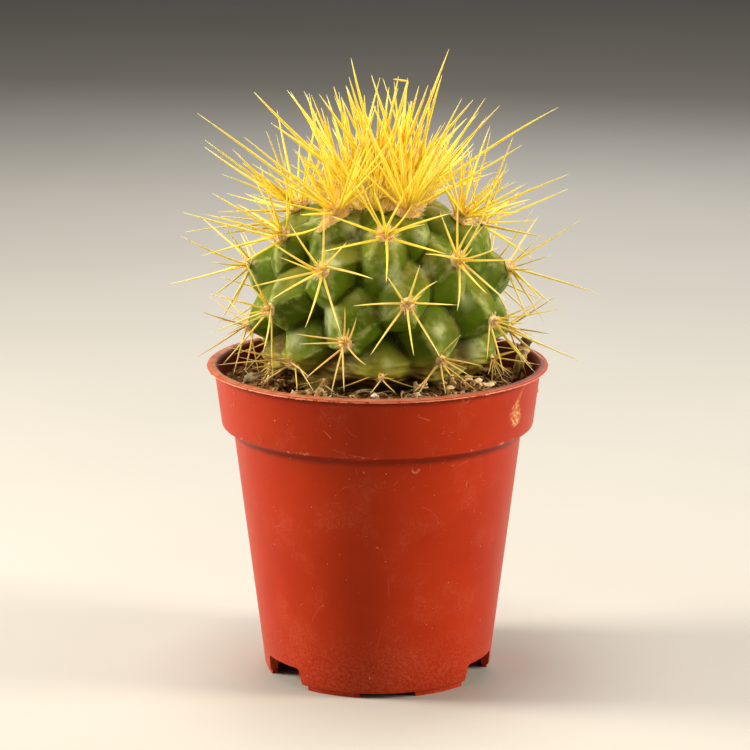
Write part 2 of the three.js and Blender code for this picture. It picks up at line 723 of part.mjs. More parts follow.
// Balls round the grains and along the twig that spines keep out of
function layOutBlocks() {
  const blocks = GRAINS.map((grain) => ({ centre: grainPlace(grain), reach: Math.max(...grain.size) / 2 }));
  const corners = TWIG_PATH.slice(1).map(([x, y, z]) => new THREE.Vector3(x, y, z));
  corners.forEach((corner, i) => {
    blocks.push({ centre: corner, reach: TWIG_RADIUS + GAP });
    if (i > 0) {
      blocks.push({ centre: corner.clone().lerp(corners[i - 1], 0.5), reach: TWIG_RADIUS + GAP });
    }
  });
  return blocks;
}

const BLOCKS = layOutBlocks();

// Whether a spine keeps clear of the flesh, the soil, the pot, the twig and the grains
function standsFree(spine, ownPad, ownPadRadius) {
  const steps = 12;
  for (let i = 1; i <= steps; i++) {
    const point = spine.root.clone().lerp(spine.tip, i / steps);
    const radius = spine.radius * (1 - i / steps);
    if (point.distanceTo(ownPad) < ownPadRadius) {
      continue;
    }
    const room = point.distanceTo(ownPad) < OWN_KNOB_REACH ? OWN_KNOB_ROOM : FLESH_ROOM;
    if (fleshClearance(point) < radius + room) {
      return false;
    }
    const out = Math.hypot(point.x, point.y);
    if (point.z < RIM_TOP + GAP && out > COLLAR_TOP_RADIUS - WALL - WALL_ROOM - radius) {
      return false;
    }
    if (out < COLLAR_TOP_RADIUS && point.z < soilTop(point.x, point.y) + SOIL_ROOM + radius) {
      return false;
    }
    const blocked = (block) => point.distanceTo(block.centre) < block.reach + radius + LOOSE_PIECE_ROOM;
    if (BLOCKS.some(blocked)) {
      return false;
    }
  }
  return true;
}

// Where a spine may end: first the likeliest place, then others near it
function tipChoices(cluster, wish) {
  const choices = [];
  if (wish.pixel) {
    for (const share of [1, 1.06, 0.94, 1.13, 0.88, 1.2, 1.3, 0.8, 1.42, 1.6]) {
      const length = wish.length * share;
      const pair = [false, true].map((behind) => tipOnLine(wish.pixel, cluster.root, length, behind));
      const tilts = pair.map((tip) => tip.clone().sub(cluster.root).angleTo(cluster.normal) / RADIANS);
      if (Math.max(...tilts) < EITHER_SIDE_TILT ? wish.behind : tilts[1] < tilts[0]) {
        pair.reverse();
        tilts.reverse();
      }
      choices.push(...pair.filter((_, i) => tilts[i] < GREATEST_TILT));
    }
  }
  for (const share of [1, 0.9, 0.8, 0.68, 0.55]) {
    for (const swing of [0, 7, -7, 14, -14, 21, -21]) {
      for (const lift of [0, -9, -18]) {
        const around = (wish.around + swing) * RADIANS;
        const tilt = Math.max(LEAST_TILT, wish.tilt + lift) * RADIANS;
        const side = cluster.east.clone().multiplyScalar(Math.cos(around));
        side.addScaledVector(cluster.south, Math.sin(around));
        const way = cluster.normal.clone().multiplyScalar(Math.cos(tilt));
        way.addScaledVector(side, Math.sin(tilt));
        choices.push(cluster.root.clone().addScaledVector(way, wish.length * share));
      }
    }
  }
  return choices;
}

// The spines of all clusters, each clear of every other cluster's
function placeSpines(clusters) {
  for (const measured of [true, false]) {
    for (const cluster of clusters) {
      for (const wish of cluster.wishes.filter((w) => Boolean(w.pixel) === measured)) {
        const others = clusters.filter((o) => o.node !== cluster.node);
        const found = tipChoices(cluster, wish).find((tip) => {
          const spine = { root: cluster.root, tip, radius: cluster.radius };
          if (!standsFree(spine, cluster.root, cluster.padRadius)) {
            return false;
          }
          const pads = others.map((o) => ({ root: o.root, tip: o.padTop, radius: o.padRadius + 0.1 }));
          const reach = (o) => spineGap(spine, o) > SPINE_CLEARANCE;
          return pads.every(reach) && others.every((o) => o.spines.every(reach));
        });
        if (found) {
          cluster.spines.push({ root: cluster.root, tip: found, radius: cluster.radius });
        }
      }
    }
  }
}

// The clusters with what each should grow: spines read off the photograph, the rest by a rule
function layOutClusters() {
  const clusters = [];
  for (const knob of KNOBS.filter((k) => k.level <= LAST_LEVEL)) {
    const young = knob.level < YOUNGEST_CLUSTER_LEVEL;
    const ownPadRadius = padRadius(knob.level);
    const root = knob.tip.clone().addScaledVector(knob.normal, GAP + ownPadRadius * PAD_FLATNESS);
    if (young) {
      root.set(BALL_X + (knob.tip.x - BALL_X) * CROWN_ROOT_SPREAD, knob.tip.y * CROWN_ROOT_SPREAD, WOOL_Z);
    }
    const padTop = root.clone().addScaledVector(knob.normal, 0.1);
    const pixels = TIP_PIXELS[`${knob.level},${knob.side}`] ?? [];
    const usual = usualLength(knob.level);
    const wishes = pixels.map((pixel, i) => {
      const length = pixel[2] ?? usual;
      return { pixel, length, behind: i % 2 === 1, around: 60 * i, tilt: MEASURED_TILT };
    });
    const least = young ? YOUNG_SPINES : knob.level > 9 ? FOOT_SPINES : LEAST_SPINES;
    const start = between(0, 360);
    const extra = Math.max(0, least - wishes.length);
    for (let i = 0; i < extra; i++) {
      const around = start + (360 * i) / extra + between(-AROUND_SCATTER, AROUND_SCATTER);
      const levelsDown = knob.level - YOUNGEST_CLUSTER_LEVEL;
      const grownTilt = knob.level < 0 ? TOP_TILT + TOP_TILT_PER_LEVEL * levelsDown : SIDE_TILT;
      const tilt = (young ? CROWN_TILT : grownTilt) + between(-TILT_SCATTER, TILT_SCATTER);
      const share = young ? between(0.55, 0.95) : between(0.9, 1.24);
      wishes.push({ length: usual * share, around, tilt });
    }
    const node = young ? "crown" : knob.level * 2 + knob.side;
    const sizes = { radius: rootRadius(knob.level), padRadius: ownPadRadius };
    clusters.push({ ...knob, ...sizes, node, root, padTop, wishes, spines: [] });
  }
  placeSpines(clusters);
  return clusters;
}

function needleSolid(spine) {
  const way = spine.tip.clone().sub(spine.root);
  const length = way.length();
  const geometry = new THREE.ConeGeometry(spine.radius, length, SPINE_SIDES, 1);
  geometry.translate(0, length / 2, 0);
  geometry.applyQuaternion(new THREE.Quaternion().setFromUnitVectors(UP, way.divideScalar(length)));
  geometry.translate(spine.root.x, spine.root.y, spine.root.z);
  return outward(solidOf(geometry));
}

// One cluster: a felt pad with its spines grown into it
function buildCluster(cluster) {
  const pad = new THREE.IcosahedronGeometry(cluster.padRadius, 0);
  pad.scale(1, PAD_FLATNESS, 1);
  pad.applyQuaternion(new THREE.Quaternion().setFromUnitVectors(UP, cluster.normal));
  pad.translate(cluster.root.x, cluster.root.y, cluster.root.z);
  let solid = solidOf(pad);
  for (const spine of cluster.spines) {
    solid = solid.add(needleSolid(spine));
  }
  return solid.simplify(SLIVER);
}

// Crown: the wool on top of the body with the youngest spines grown into it
function buildCrown(clusters) {
  const wool = new THREE.IcosahedronGeometry(1, 1);
  wool.scale(WOOL_RADIUS, WOOL_RADIUS, WOOL_HEIGHT);
  wool.translate(BALL_X, 0, WOOL_Z);
  let solid = solidOf(wool);
  for (const cluster of clusters) {
    for (const spine of cluster.spines) {
      solid = solid.add(needleSolid(spine));
    }
  }
  return solid;
}

// Colours
const COLOURS = {
  pot_plastic: { color: "#bf4a2b", roughness: 0.45 },
  soil_mix: { color: "#2b1d14", roughness: 0.95 },
  cactus_skin: { color: "#4f7a2a", roughness: 0.5 },
  crown_spines: { color: "#f2c22e", roughness: 0.5 },
  golden_spines: { color: "#ecc048", roughness: 0.5 },
  aged_spines: { color: "#c08a45", roughness: 0.6 },
  dead_wood: { color: "#6b5a45", roughness: 0.9 },
  grey_bark: { color: "#8b8273", roughness: 0.9 },
  white_grain: { color: "#e9e4da", roughness: 0.85 },
};

function named(name, slot, solid) {
  const material = new THREE.MeshStandardMaterial({ ...COLOURS[slot], metalness: 0 });
  material.name = slot;
  const mesh = new THREE.Mesh(geometryOf(solid), material);
  mesh.name = name;
  return mesh;
}

function buildAll() {
  const group = new THREE.Group();
  group.name = "potted_round_cactus";
  group.add(named("pot", "pot_plastic", buildPot()));
  const buried = GRAINS.map((grain) => grainSolid(grain, GAP));
  buried.push(twigSolid(GAP));
  group.add(named("soil", "soil_mix", buildSoil(buried)));
  group.add(named("cactus_body", "cactus_skin", buildBody()));
  const clusters = layOutClusters();
  const young = clusters.filter((cluster) => cluster.node === "crown");
  group.add(named("crown", "crown_spines", buildCrown(young)));
  let number = 0;
  for (const cluster of clusters.filter((c) => c.node !== "crown")) {
    number += 1;
    const slot = cluster.level < 5 ? "golden_spines" : "aged_spines";
    const name = `spine_cluster_${String(number).padStart(2, "0")}`;
    group.add(named(name, slot, buildCluster(cluster)));
  }
  group.add(named("twig", "dead_wood", twigSolid(0)));
  for (const grain of GRAINS) {
    const slot = grain.name === "bark_chip" ? "grey_bark" : "white_grain";
    group.add(named(grain.name, slot, grainSolid(grain, 0)));
  }
  return group;
}

const group = buildAll();
export default group;
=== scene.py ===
# %% [markdown]
# # A small round cactus in a nursery pot
# The solid model of the pot, the soil, the fleshy ball and its spine clusters is already made and
# packed, in metres, with +Z up and the pot's foot at the origin. This lesson dresses it: it loads
# that model as a fixed frame, builds finer pieces in the same places, and gives each its finish.
# Sizes are written in millimetres, as a maker would measure them, and turned into metres once.

# %% Load the frame and the tools
import math

import bmesh
import bpy
import numpy as np
from mathutils import Matrix, Vector, noise
from mathutils.bvhtree import BVHTree


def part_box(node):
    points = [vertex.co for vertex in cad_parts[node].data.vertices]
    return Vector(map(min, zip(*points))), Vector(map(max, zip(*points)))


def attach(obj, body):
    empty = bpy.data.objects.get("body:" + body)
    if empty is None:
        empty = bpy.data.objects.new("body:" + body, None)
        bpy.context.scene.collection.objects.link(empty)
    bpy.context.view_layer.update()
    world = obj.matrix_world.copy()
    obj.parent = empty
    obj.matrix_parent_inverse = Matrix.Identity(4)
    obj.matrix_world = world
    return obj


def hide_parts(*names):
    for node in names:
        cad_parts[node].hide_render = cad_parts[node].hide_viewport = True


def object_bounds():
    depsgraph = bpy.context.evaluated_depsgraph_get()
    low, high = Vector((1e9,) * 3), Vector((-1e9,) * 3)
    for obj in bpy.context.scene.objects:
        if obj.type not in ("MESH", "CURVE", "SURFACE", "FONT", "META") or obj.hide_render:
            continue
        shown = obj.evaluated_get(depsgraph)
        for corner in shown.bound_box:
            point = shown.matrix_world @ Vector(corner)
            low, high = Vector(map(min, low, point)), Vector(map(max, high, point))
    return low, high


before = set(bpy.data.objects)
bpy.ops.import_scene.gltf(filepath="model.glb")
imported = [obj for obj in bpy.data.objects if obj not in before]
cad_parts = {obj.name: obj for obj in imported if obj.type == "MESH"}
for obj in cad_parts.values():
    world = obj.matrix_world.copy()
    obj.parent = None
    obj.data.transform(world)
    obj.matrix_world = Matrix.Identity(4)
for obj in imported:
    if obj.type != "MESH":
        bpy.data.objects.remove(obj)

MM = 0.001
cad_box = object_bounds()
print("frame nodes:", len(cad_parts))
print("frame box in mm:", [[round(v / MM, 1) for v in corner] for corner in cad_box])

# %% [markdown]
# ## A few helpers that every piece uses
# Every piece here is a mesh made from lists of points and faces, because plants and crumbs have no
# plain shape to start from. One helper turns such lists into an object, smooths its shading, hangs
# it on the frame's only body and hides the solids it stands for. Numbers that a finish needs, such
# as how far along its spine a point lies, are stored on the points as attributes.

# %% Turn points and faces into a piece
def make_piece(name, points, faces, finish, slot, stands_for=(), numbers=None):
    mesh = bpy.data.meshes.new(name)
    mesh.from_pydata((np.asarray(points) * MM).tolist(), [], faces)
    mesh.update()
    mesh.shade_smooth()
    for key, values in (numbers or {}).items():
        attribute = mesh.attributes.new(key, "FLOAT", "POINT")
        attribute.data.foreach_set("value", np.asarray(values, dtype=np.float32))
    mesh.materials.append(finish)
    piece = bpy.data.objects.new(name, mesh)
    bpy.context.scene.collection.objects.link(piece)
    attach(piece, "root")
    if stands_for:
        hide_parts(*stands_for)
    return piece

# %% Count a mesh's triangles, to keep an eye on its weight
def triangles_of(piece):
    return sum(len(face.vertices) - 2 for face in piece.data.polygons)

# %% [markdown]
# ## Helpers for finishes
# A finish is a small network of nodes that ends in the Principled shader. Patterns are placed by
# the piece's own coordinates, in metres, so a noise of scale 1000 has features about a millimetre
# wide and stays put on the piece when the camera moves. A mark is made in two steps: a mask says
# where it is, from 0 to 1, and a mix lays its colour over what lies under it.

# %% Start a finish and add nodes to it
def start_finish(name, **constants):
    finish = bpy.data.materials.new(name)
    finish.use_nodes = True
    shader = finish.node_tree.nodes["Principled BSDF"]
    for socket, value in constants.items():
        shader.inputs[socket.replace("_", " ")].default_value = value
    return finish, finish.node_tree, shader


def add_node(tree, kind, links=None, **settings):
    node = tree.nodes.new(kind)
    for key, value in settings.items():
        setattr(node, key, value)
    for key, value in (links or {}).items():
        if isinstance(value, bpy.types.NodeSocket):
            tree.links.new(value, node.inputs[key])
        else:
            node.inputs[key].default_value = value
    return node

# %% Sums with numbers and with vectors
def maths_of(tree, operation, *values, clamp=False):
    links = dict(enumerate(values))
    return add_node(tree, "ShaderNodeMath", links, operation=operation, use_clamp=clamp).outputs[0]


def vector_maths_of(tree, operation, *values):
    node = add_node(tree, "ShaderNodeVectorMath", dict(enumerate(values)), operation=operation)
    gives_number = operation in ("DISTANCE", "DOT_PRODUCT", "LENGTH")
    return node.outputs["Value" if gives_number else "Vector"]


def up_part_of(tree, vector):
    return add_node(tree, "ShaderNodeSeparateXYZ", {0: vector}).outputs["Z"]

# %% Patterns: places, noise, stored numbers and colour ramps
def place_of(tree):
    return add_node(tree, "ShaderNodeTexCoord").outputs["Object"]


def normal_of(tree):
    return add_node(tree, "ShaderNodeNewGeometry").outputs["Normal"]


def noise_of(tree, scale, detail=3.0, roughness=0.55, stretch=None):
    place = place_of(tree)
    if stretch is not None:
        place = vector_maths_of(tree, "MULTIPLY", place, stretch)
    values = {"Vector": place, "Scale": scale, "Detail": detail, "Roughness": roughness}
    return add_node(tree, "ShaderNodeTexNoise", values).outputs["Fac"]


def number_of(tree, key):
    return add_node(tree, "ShaderNodeAttribute", attribute_name=key).outputs["Fac"]


def ramp_of(tree, factor, stops):
    node = add_node(tree, "ShaderNodeValToRGB", {"Fac": factor})
    elements = node.color_ramp.elements
    while len(elements) < len(stops):
        elements.new(1.0)
    for element, (place, colour) in zip(elements, stops):
        element.position = place
        element.color = (*colour, 1.0)
    return node.outputs["Color"]

# %% Masks: fades between two values, and their products
def fade_of(tree, value, low, high, to_low=0.0, to_high=1.0):
    values = {"Value": value, "From Min": low, "From Max": high, "To Min": to_low, "To Max": to_high}
    return add_node(tree, "ShaderNodeMapRange", values, interpolation_type="SMOOTHSTEP").outputs["Result"]


def fade_mm(tree, value, low, high, to_low=0.0, to_high=1.0):
    return fade_of(tree, value, low * MM, high * MM, to_low, to_high)


def spread_of(tree, value, to_low, to_high):
    values = {"Value": value, "To Min": to_low, "To Max": to_high}
    return add_node(tree, "ShaderNodeMapRange", values).outputs["Result"]


def times(tree, mask, *others):
    for other in others:
        mask = maths_of(tree, "MULTIPLY", mask, other, clamp=True)
    return mask

# %% Mixes of colours, bumps and the shader's sockets
def mix_of(tree, factor, one, other, blend="MIX"):
    node = add_node(tree, "ShaderNodeMix", data_type="RGBA", blend_type=blend)
    for socket, value in ((node.inputs[0], factor), (node.inputs[6], one), (node.inputs[7], other)):
        if isinstance(value, bpy.types.NodeSocket):
            tree.links.new(value, socket)
        else:
            socket.default_value = (*value, 1.0) if isinstance(value, tuple) else value
    return node.outputs[2]


def cover(tree, colour, coat, share, *masks):
    return mix_of(tree, times(tree, *masks, share), colour, coat)


def bump_of(tree, height, strength, depth_mm, under=None):
    values = {"Height": height, "Strength": strength, "Distance": depth_mm * MM}
    if under is not None:
        values["Normal"] = under
    return add_node(tree, "ShaderNodeBump", values).outputs["Normal"]


def feed(tree, shader, **sockets):
    for key, source in sockets.items():
        tree.links.new(source, shader.inputs[key.replace("_", " ")])

# %% [markdown]
# ## The camera, the light and the floor
# The camera comes first, so that every later step can be looked at through it. It stands where the
# fitted viewpoint says: half a metre away and 13 degrees above the horizon, with a long lens. Big
# soft lamps stand to both sides and above, as in a small studio, and the floor is plain and pale.

# %% Set the camera
VIEW_TARGET = (-0.403, 0.0, 48.743)
VIEW_DISTANCE = 486.42
VIEW_TILT = 0.22545
VIEW_FOCAL_PIXELS = 3007.6
IMAGE_PIXELS = 750

camera_data = bpy.data.cameras.new("camera")
camera_data.sensor_width = 36.0
camera_data.lens = camera_data.sensor_width * VIEW_FOCAL_PIXELS / IMAGE_PIXELS
camera = bpy.data.objects.new("camera", camera_data)
camera.location = (
    VIEW_TARGET[0] * MM,
    (VIEW_TARGET[1] - VIEW_DISTANCE * math.cos(VIEW_TILT)) * MM,
    (VIEW_TARGET[2] + VIEW_DISTANCE * math.sin(VIEW_TILT)) * MM,
)
camera.rotation_euler = (math.pi / 2 - VIEW_TILT, 0.0, 0.0)
bpy.context.scene.collection.objects.link(camera)
bpy.context.scene.camera = camera
print("lens in mm:", round(camera_data.lens, 1))

# %% Hang the studio lamps
PLANT_MIDDLE = (0.0, 0.0, 0.055)
SIDE_LIGHT = (1.0, 0.90, 0.72)


def add_lamp(name, place, size, power, colour=(1.0, 1.0, 1.0)):
    lamp_data = bpy.data.lights.new(name, "AREA")
    lamp_data.shape = "RECTANGLE"
    lamp_data.size, lamp_data.size_y = size
    lamp_data.energy = power
    lamp_data.color = colour
    lamp = bpy.data.objects.new(name, lamp_data)
    lamp.location = place
    lamp.rotation_euler = (Vector(PLANT_MIDDLE) - Vector(place)).to_track_quat("-Z", "Y").to_euler()
    bpy.context.scene.collection.objects.link(lamp)
    print(name, "watts:", power)


add_lamp("lamp_above", (-0.04, 0.02, 0.55), (0.30, 0.24), 2.2, (1.0, 0.94, 0.84))
add_lamp("lamp_left", (-0.46, 0.02, 0.24), (0.14, 0.36), 3.9, SIDE_LIGHT)
add_lamp("lamp_right", (0.46, -0.095, 0.22), (0.14, 0.36), 2.85, SIDE_LIGHT)
add_lamp("lamp_behind", (0.12, 0.5, 0.35), (0.4, 0.3), 0.9)

# %% Fill the shadows with a little light from all round
ROOM_LIGHT = (0.82, 0.80, 0.76, 1.0)
ROOM_STRENGTH = 0.10

studio = bpy.data.worlds.new("studio")
studio.use_nodes = True
studio.node_tree.nodes["Background"].inputs["Color"].default_value = ROOM_LIGHT
studio.node_tree.nodes["Background"].inputs["Strength"].default_value = ROOM_STRENGTH
bpy.context.scene.world = studio
bpy.context.scene.view_settings.view_transform = "Standard"

# %% Lay the floor
FLOOR_REACH = 3.0
FLOOR_TONES = [(0.3, (0.50, 0.49, 0.47)), (0.7, (0.54, 0.53, 0.51))]


def lay_floor():
    finish, tree, shader = start_finish("pale_floor", Roughness=0.85)
    feed(tree, shader, Base_Color=ramp_of(tree, noise_of(tree, 6.0), FLOOR_TONES))
    mesh = bpy.data.meshes.new("floor")
    corners = [(-1, -1, 0), (1, -1, 0), (1, 1, 0), (-1, 1, 0)]
    mesh.from_pydata((np.array(corners) * FLOOR_REACH).tolist(), [], [(0, 1, 2, 3)])
    mesh.materials.append(finish)
    floor = bpy.data.objects.new("floor", mesh)
    bpy.context.scene.collection.objects.link(floor)


lay_floor()
print("floor in m:", 2 * FLOOR_REACH, "square")

# %% [markdown]
# ## How the knobs are laid out
# A ball cactus carries its knobs in spirals. Here they come in pairs, half a turn apart, and each
# pair is turned on by about 110.5 degrees from the last, which gives the slanting rows. The knobs'
# tips touch a slightly boxy ball. The same rule made the solid model, so the finer flesh, the felt
# pads and the spines made from it all land where the solids are.

# %% The ball that the knobs' tips touch
BALL_X = 0.37
BALL_Z = 61.62
BALL_RADIUS = 21.73
BALL_HALF_HEIGHT = 16.68
BALL_POWER = 2.3


def ball_point(azimuth, angle, size=1.0):
    turn, lean = np.radians(azimuth), np.radians(angle)
    power = 2.0 / BALL_POWER
    across = BALL_RADIUS * np.abs(np.sin(lean)) ** power * size
    along = BALL_HALF_HEIGHT * np.sign(np.cos(lean)) * np.abs(np.cos(lean)) ** power * size
    return np.stack([BALL_X + across * np.sin(turn), -across * np.cos(turn), BALL_Z + along], -1)


def ball_normal(azimuth, angle):
    step = 0.4
    east = ball_point(azimuth + step, angle) - ball_point(azimuth - step, angle)
    south = ball_point(azimuth, angle + step) - ball_point(azimuth, angle - step)
    normal = np.cross(south, east)
    return normal / np.linalg.norm(normal, axis=-1, keepdims=True)

# %% Levels of the spiral, and each knob's own shift
FIRST_LEVEL = -10
LAST_LEVEL = 13
YOUNGEST_CLUSTER_LEVEL = -6
FIRST_AZIMUTH = -26.75
TURN_PER_LEVEL = 110.545
ANGLE_BY_LEVEL = np.polynomial.Polynomial((66.82, 7.35, -0.1344, -0.00584))
HIDDEN_SWAY = (2.4, 1.2)
KNOB_SHIFTS = {
    (-6, 0): (-3.4, 4.6), (-5, 1): (0.5, -1.3), (-4, 1): (-1.6, 1.2), (-3, 0): (1.7, -1.5),
    (-2, 1): (4.6, -1.8), (-1, 1): (-3.8, 1.9), (0, 0): (0.0, -1.3), (1, 0): (-3.6, -0.5),
    (1, 1): (3.3, 1.2), (2, 1): (-2.9, 1.0), (3, 0): (2.2, 1.3), (4, 0): (-0.1, -0.2),
    (5, 1): (-0.7, -1.1), (6, 0): (-0.5, -2.7), (7, 0): (0.4, 0.0), (8, 1): (-1.0, 0.5),
    (9, 1): (-4.3, -1.5), (10, 0): (1.7, -1.9), (13, 0): (1.0, -0.9),
}


def knob_shift(level, side):
    number = 2 * level + side
    sway = (HIDDEN_SWAY[0] * math.sin(13 * number), HIDDEN_SWAY[1] * math.cos(29 * number))
    return KNOB_SHIFTS.get((level, side), (0.0, 0.0) if level < YOUNGEST_CLUSTER_LEVEL else sway)


def level_angle(level):
    start = YOUNGEST_CLUSTER_LEVEL
    if level >= start:
        return ANGLE_BY_LEVEL(level)
    slope = ANGLE_BY_LEVEL.deriv()(start)
    return ANGLE_BY_LEVEL(start) * math.exp((level - start) * slope / ANGLE_BY_LEVEL(start))

# %% Lay out the knobs, each with its tip, its directions and the steps to its neighbours
def step_to(level, levels, azimuth, lowered):
    turn = TURN_PER_LEVEL * levels
    turn -= 180 * round(turn / 180)
    ahead = ball_point(azimuth + turn, level_angle(level + levels) + lowered)
    behind = ball_point(azimuth - turn, level_angle(level - levels) + lowered)
    return (ahead - behind) / 2


def lay_out_knob(level, side):
    turned, lowered = knob_shift(level, side)
    azimuth = FIRST_AZIMUTH + TURN_PER_LEVEL * level + 180 * side + turned
    angle = level_angle(level) + lowered
    normal = ball_normal(azimuth, angle)
    east = np.array([math.cos(math.radians(azimuth)), math.sin(math.radians(azimuth)), 0.0])
    south = np.cross(east, normal)
    south *= -np.sign(south[2]) / np.linalg.norm(south)
    left, down = (step_to(level, levels, azimuth, lowered) for levels in (3, 5))
    axes = np.array([[left @ east, down @ east], [left @ south, down @ south]])
    return {
        "level": level, "side": side, "tip": ball_point(azimuth, angle), "normal": normal,
        "east": east, "south": south, "to_steps": np.linalg.inv(axes),
    }


KNOBS = [lay_out_knob(level, side) for level in range(FIRST_LEVEL, LAST_LEVEL + 2) for side in (0, 1)]
print("knobs:", len(KNOBS))

# %% [markdown]
# ## The flesh
# Each knob is a rounded pyramid: highest at its tip, sloping faster below the tip than above it,
# and meeting its neighbours in sharp valleys. The height at a place is that of the highest knob
# there. Sculpting some fifty such knobs by hand would take days, and a rule gives them all at once,
# so the flesh is one fine grid wrapped round the ball and sunk in by the rule.

# %% Height of one knob, from its tip down to its edge
KNOB_POWER = 1.2
KNOB_FALLS = (1.2, 1.4, 2.0)
KNOB_REACHES = (1.0, 0.88, 0.8)
LOWEST_HEIGHT = -0.3
TIP_ROUNDING = 1.5

YOUNG_LEVELS = (-1, -4)
YOUNG_KNOB_POWER = 1.8
YOUNG_FALL_GAIN = 1.2
YOUNG_REACH_GAINS = (0.85, 1.0, 1.3)

OLD_LEVELS = (-2, 8)
OLD_REACH_GAINS = (1.5, 0.9, 0.6)


def smoothstep(low, high, value):
    t = np.clip((value - low) / (high - low), 0.0, 1.0)
    return t * t * (3 - 2 * t)


def between3(values, lean):
    above, beside, below = values
    return beside + (below - above) / 2 * lean + ((above + below) / 2 - beside) * lean**2


def knob_height(knob, away):
    x, y = away @ knob["east"], away @ knob["south"]
    steps = np.abs(knob["to_steps"] @ np.stack([x, y]))
    youth = smoothstep(*YOUNG_LEVELS, knob["level"])
    age = smoothstep(*OLD_LEVELS, knob["level"])
    power = KNOB_POWER + (YOUNG_KNOB_POWER - KNOB_POWER) * youth
    step = (steps[0] ** power + steps[1] ** power) ** (1 / power)
    length = np.hypot(x, y) + 1e-9
    lean = y / length * smoothstep(0, TIP_ROUNDING, length)
    young_gain = 1 + youth * (between3(YOUNG_REACH_GAINS, lean) - 1)
    old_gain = 1 + age * (between3(OLD_REACH_GAINS, lean) - 1)
    reach = between3(KNOB_REACHES, lean) * young_gain * old_gain
    fall = between3(KNOB_FALLS, lean) * (1 + youth * (YOUNG_FALL_GAIN - 1))
    return np.maximum(LOWEST_HEIGHT, 1 - (step / reach) ** fall)

# %% Relief of all knobs together, with sharper and softer valleys
KNOB_SPAN = 14.0
VALLEY_SHARPNESS = (12.0, 60.0)
SHARPNESS_NOISE = (-0.25, 0.15)


def noise_at(points, scale=1.0):
    return np.array([noise.noise(Vector(place)) for place in np.asarray(points) * scale])


def relief(points):
    heights = np.full((len(KNOBS), len(points)), LOWEST_HEIGHT)
    for row, knob in zip(heights, KNOBS):
        away = points - knob["tip"]
        near = (away**2).sum(-1) < KNOB_SPAN**2
        row[near] = knob_height(knob, away[near])
    best = heights.max(0)
    sharpness = np.interp(noise_at(points, 0.16), SHARPNESS_NOISE, VALLEY_SHARPNESS)
    soft = np.log(np.exp((heights - best) * sharpness).sum(0)) / sharpness
    return np.minimum(1.0, best + soft)

# %% Depth of the valleys, small lumps, and wrinkles in the lowest flesh
VALLEY_DEPTH = 5.2
SHALLOWEST_VALLEY = 0.9
DEEPENING_ANGLES = (8, 55)
FLATTENING_ANGLES = (104, 121)
FLATTENING = 0.88
LUMPS = ((0.14, 0.3), (0.06, 0.85))
WRINKLE_MM = 0.8
WRINKLE_HEIGHTS = (55.8, 52.0)
WRINKLE_STRETCH = (0.3, 0.3, 1.5)


def valley_depth(angle):
    rise = smoothstep(*DEEPENING_ANGLES, angle)
    fade = 1 - FLATTENING * smoothstep(*FLATTENING_ANGLES, angle)
    return SHALLOWEST_VALLEY + VALLEY_DEPTH * rise * fade


def flesh_size(azimuth, angle):
    places = ball_point(azimuth, angle)
    distance = np.linalg.norm(places - [BALL_X, 0, BALL_Z], axis=-1)
    height = relief(places)
    lumps = sum(rise * noise_at(places, scale) for rise, scale in LUMPS) * smoothstep(1.0, 0.8, height)
    wrinkled = smoothstep(*WRINKLE_HEIGHTS, places[:, 2])
    lumps = lumps + WRINKLE_MM * noise_at(places, WRINKLE_STRETCH) * wrinkled
    return 1 - (valley_depth(angle) * (1 - height) - lumps) / distance, height

# %% Rings of points, the faces between them, and the faces that close both ends
def ring(turn, radius, z):
    return np.stack([radius * np.sin(turn), -radius * np.cos(turn), np.full_like(turn, z)], -1)


def grid_faces(rows, columns):
    faces = []
    for start in range(0, (rows - 1) * columns, columns):
        for column in range(columns):
            a, b = start + column, start + (column + 1) % columns
            faces.append((a, a + columns, b + columns, b))
    return faces


def end_faces(rows, columns):
    last = (rows - 1) * columns
    return [tuple(range(columns)), tuple(reversed(range(last, last + columns)))]

# %% Ridges and creases: how far each point stands out from those around it
FLESH_COLUMNS = 360
FLESH_ROWS = 236
RIDGE_CELLS = 3
RIDGE_MM = 0.12


def ridges(points):
    reach = np.linalg.norm(points - [BALL_X, 0, BALL_Z], axis=-1).reshape(FLESH_ROWS, FLESH_COLUMNS)
    padded = np.pad(reach, ((RIDGE_CELLS, RIDGE_CELLS), (0, 0)), mode="edge")
    around = sum(np.roll(reach, shift, axis=1) for shift in (-RIDGE_CELLS, RIDGE_CELLS))
    around = around + padded[:-2 * RIDGE_CELLS] + padded[2 * RIDGE_CELLS:]
    return ((reach - around / 4) / RIDGE_MM).ravel()

# %% Wrap the fine grid round the ball and down into the neck
FLESH_ANGLES = (0.4, 139.0)
NECK = ((13.9, 47.7), (12.6, 46.7), (9.0, 45.0), (0.3, 44.2))


def shape_flesh():
    azimuth = np.linspace(0, 360, FLESH_COLUMNS, endpoint=False)
    angle = np.linspace(*FLESH_ANGLES, FLESH_ROWS)
    azimuths, angles = (grid.ravel() for grid in np.meshgrid(azimuth, angle))
    size, height = flesh_size(azimuths, angles)
    ball = ball_point(azimuths, angles, size)
    ridge = ridges(ball)
    print("sharpest ridge and crease:", round(float(ridge.max()), 2), round(float(ridge.min()), 2))
    neck = [ring(np.radians(azimuth), radius, z) for radius, z in NECK]
    smooth = np.zeros(len(NECK) * FLESH_COLUMNS)
    numbers = {"knob_height": np.concatenate([height, smooth]), "ridge": np.concatenate([ridge, smooth])}
    rows = FLESH_ROWS + len(NECK)
    faces = grid_faces(rows, FLESH_COLUMNS) + end_faces(rows, FLESH_COLUMNS)
    return np.vstack([ball, *neck]), faces, numbers


flesh_points, flesh_faces, flesh_numbers = shape_flesh()
print("flesh points:", len(flesh_points))
